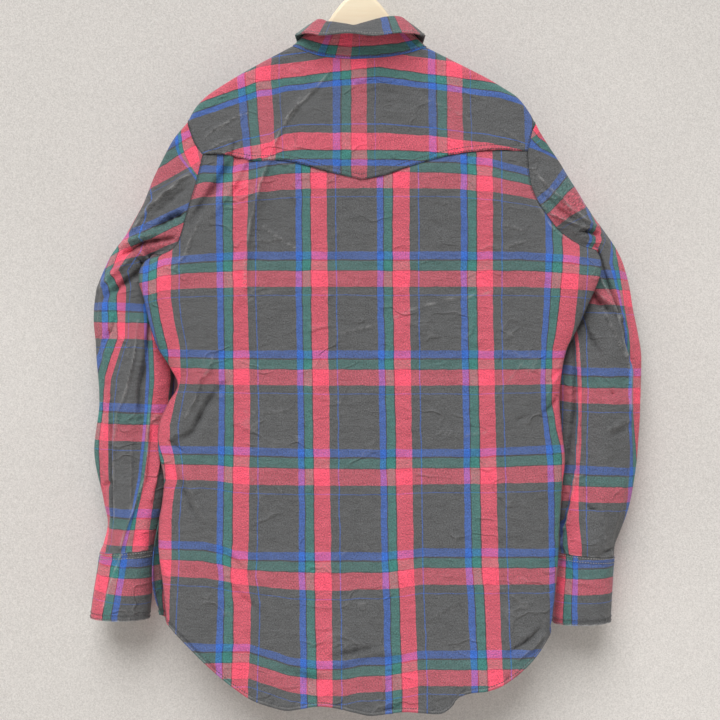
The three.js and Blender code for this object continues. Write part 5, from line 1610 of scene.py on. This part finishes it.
def build_stage():
    scene = bpy.context.scene
    plane("studio_wall", [(WIDE, WALL_Y, LOW), (-WIDE, WALL_Y, LOW), (-WIDE, WALL_Y, TALL), (WIDE, WALL_Y, TALL)],
          "wall")
    plane("studio_floor", [(-WIDE, -DEEP, LOW), (WIDE, -DEEP, LOW), (WIDE, DEEP, LOW), (-WIDE, DEEP, LOW)], "floor")
    lamp("key_light", (0.45, 2.1, 1.9), (0, 0, -0.55), 0.75, 2.8, "SUN")
    lamp("front_light", (0.9, -2.4, 1.0), (0, 0, -0.5), 1.6, 42)
    world = bpy.data.worlds.new("studio")
    world.use_nodes = True
    feed(world.node_tree, world.node_tree.nodes["Background"], {"Color": (1, 0.995, 0.985, 1), "Strength": 0.3})
    scene.world = world
    scene.view_settings.view_transform = "Standard"
    scene.view_settings.look = "None"
    data = bpy.data.cameras.new("main_camera")
    data.lens = CAMERA_LENS
    data.sensor_width = 36
    camera = linked("main_camera", data)
    camera.location = CAMERA_PLACE
    camera.rotation_euler = (math.pi / 2, 0, math.pi)
    scene.camera = camera


# Settings

class ShirtSizes(PropertyGroup):
    """Sizes that may be changed before building."""
    stitch_pitch: FloatProperty(name="Stitch pitch", description="Distance from one topstitch to the next",
                                default=0.0035, min=0.001, unit="LENGTH")
    thread_thickness: FloatProperty(name="Thread", description="Thickness of the topstitch thread",
                                    default=0.0011, min=0.0002, unit="LENGTH")


class ShirtColours(PropertyGroup):
    """Colours that may be changed before building."""
    thread: FloatVectorProperty(name="Thread", description="Colour of the topstitching", subtype="COLOR",
                                default=(0.46, 0.45, 0.43), min=0, max=1)
    wood: FloatVectorProperty(name="Wood", description="Colour of the hanger", subtype="COLOR",
                              default=(1.0, 0.92, 0.72), min=0, max=1)
    pearl: FloatVectorProperty(name="Pearl", description="Colour of the snap caps", subtype="COLOR",
                               default=(0.88, 0.87, 0.84), min=0, max=1)


# Operators

class SHIRT_OT_back_yoke(Operator):
    """Build the pointed yoke over the back of the shoulders"""
    bl_idname = "shirt.back_yoke"
    bl_label = "Back yoke"

    def execute(self, context):
        build_back_yoke()
        return {"FINISHED"}


class SHIRT_OT_back_body(Operator):
    """Build the back below the yoke, down to its curved hem"""
    bl_idname = "shirt.back_body"
    bl_label = "Back"

    def execute(self, context):
        build_back_body()
        return {"FINISHED"}


class SHIRT_OT_fronts(Operator):
    """Build the front yokes and the two lapped fronts"""
    bl_idname = "shirt.fronts"
    bl_label = "Fronts"

    def execute(self, context):
        build_fronts()
        return {"FINISHED"}


class SHIRT_OT_front_band(Operator):
    """Build the band that carries the front snaps"""
    bl_idname = "shirt.front_band"
    bl_label = "Front band"

    def execute(self, context):
        build_front_band()
        return {"FINISHED"}


class SHIRT_OT_sleeves(Operator):
    """Build both sleeves, open at the armhole and the cuff"""
    bl_idname = "shirt.sleeves"
    bl_label = "Sleeves"

    def execute(self, context):
        build_sleeves()
        return {"FINISHED"}


class SHIRT_OT_cuffs(Operator):
    """Build both cuffs"""
    bl_idname = "shirt.cuffs"
    bl_label = "Cuffs"

    def execute(self, context):
        build_cuffs()
        return {"FINISHED"}


class SHIRT_OT_collar(Operator):
    """Build the collar stand and the leaf folded over it"""
    bl_idname = "shirt.collar"
    bl_label = "Collar"

    def execute(self, context):
        build_collar_stand()
        build_collar_leaf()
        return {"FINISHED"}


class SHIRT_OT_hanger(Operator):
    """Build the wooden hanger and its wire hook"""
    bl_idname = "shirt.hanger"
    bl_label = "Hanger"

    def execute(self, context):
        build_hanger()
        return {"FINISHED"}


class SHIRT_OT_snaps(Operator):
    """Build the pearl snaps of the front, collar and cuffs"""
    bl_idname = "shirt.snaps"
    bl_label = "Snaps"

    def execute(self, context):
        build_snaps()
        return {"FINISHED"}


class SHIRT_OT_stitches(Operator):
    """Sew the rows of topstitching along seams and hems"""
    bl_idname = "shirt.stitches"
    bl_label = "Topstitching"

    def execute(self, context):
        build_stitches()
        return {"FINISHED"}


class SHIRT_OT_stage(Operator):
    """Set up the wall, floor, lights and camera"""
    bl_idname = "shirt.stage"
    bl_label = "Stage"

    def execute(self, context):
        build_stage()
        return {"FINISHED"}


STEPS = (SHIRT_OT_back_yoke, SHIRT_OT_back_body, SHIRT_OT_fronts, SHIRT_OT_front_band, SHIRT_OT_sleeves,
         SHIRT_OT_cuffs, SHIRT_OT_collar, SHIRT_OT_hanger, SHIRT_OT_snaps, SHIRT_OT_stitches, SHIRT_OT_stage)


class SHIRT_PT_panel(Panel):
    """Buttons for each piece of the shirt"""
    bl_idname = "SHIRT_PT_panel"
    bl_label = "Western snap shirt"
    bl_space_type = "VIEW_3D"
    bl_region_type = "UI"
    bl_category = "Shirt"

    def draw(self, context):
        for group in (context.scene.shirt_sizes, context.scene.shirt_colours):
            for name in group.__annotations__:
                self.layout.prop(group, name)
        for step in STEPS:
            self.layout.operator(step.bl_idname)


CLASSES = (ShirtSizes, ShirtColours) + STEPS + (SHIRT_PT_panel,)


def register():
    for cls in CLASSES:
        bpy.utils.register_class(cls)
    bpy.types.Scene.shirt_sizes = PointerProperty(type=ShirtSizes)
    bpy.types.Scene.shirt_colours = PointerProperty(type=ShirtColours)


def unregister():
    del bpy.types.Scene.shirt_colours
    del bpy.types.Scene.shirt_sizes
    for cls in reversed(CLASSES):
        bpy.utils.unregister_class(cls)


def main():
    register()
    for step in STEPS:
        group, name = step.bl_idname.split(".")
        getattr(getattr(bpy.ops, group), name)()


if __name__ == "__main__":
    main()
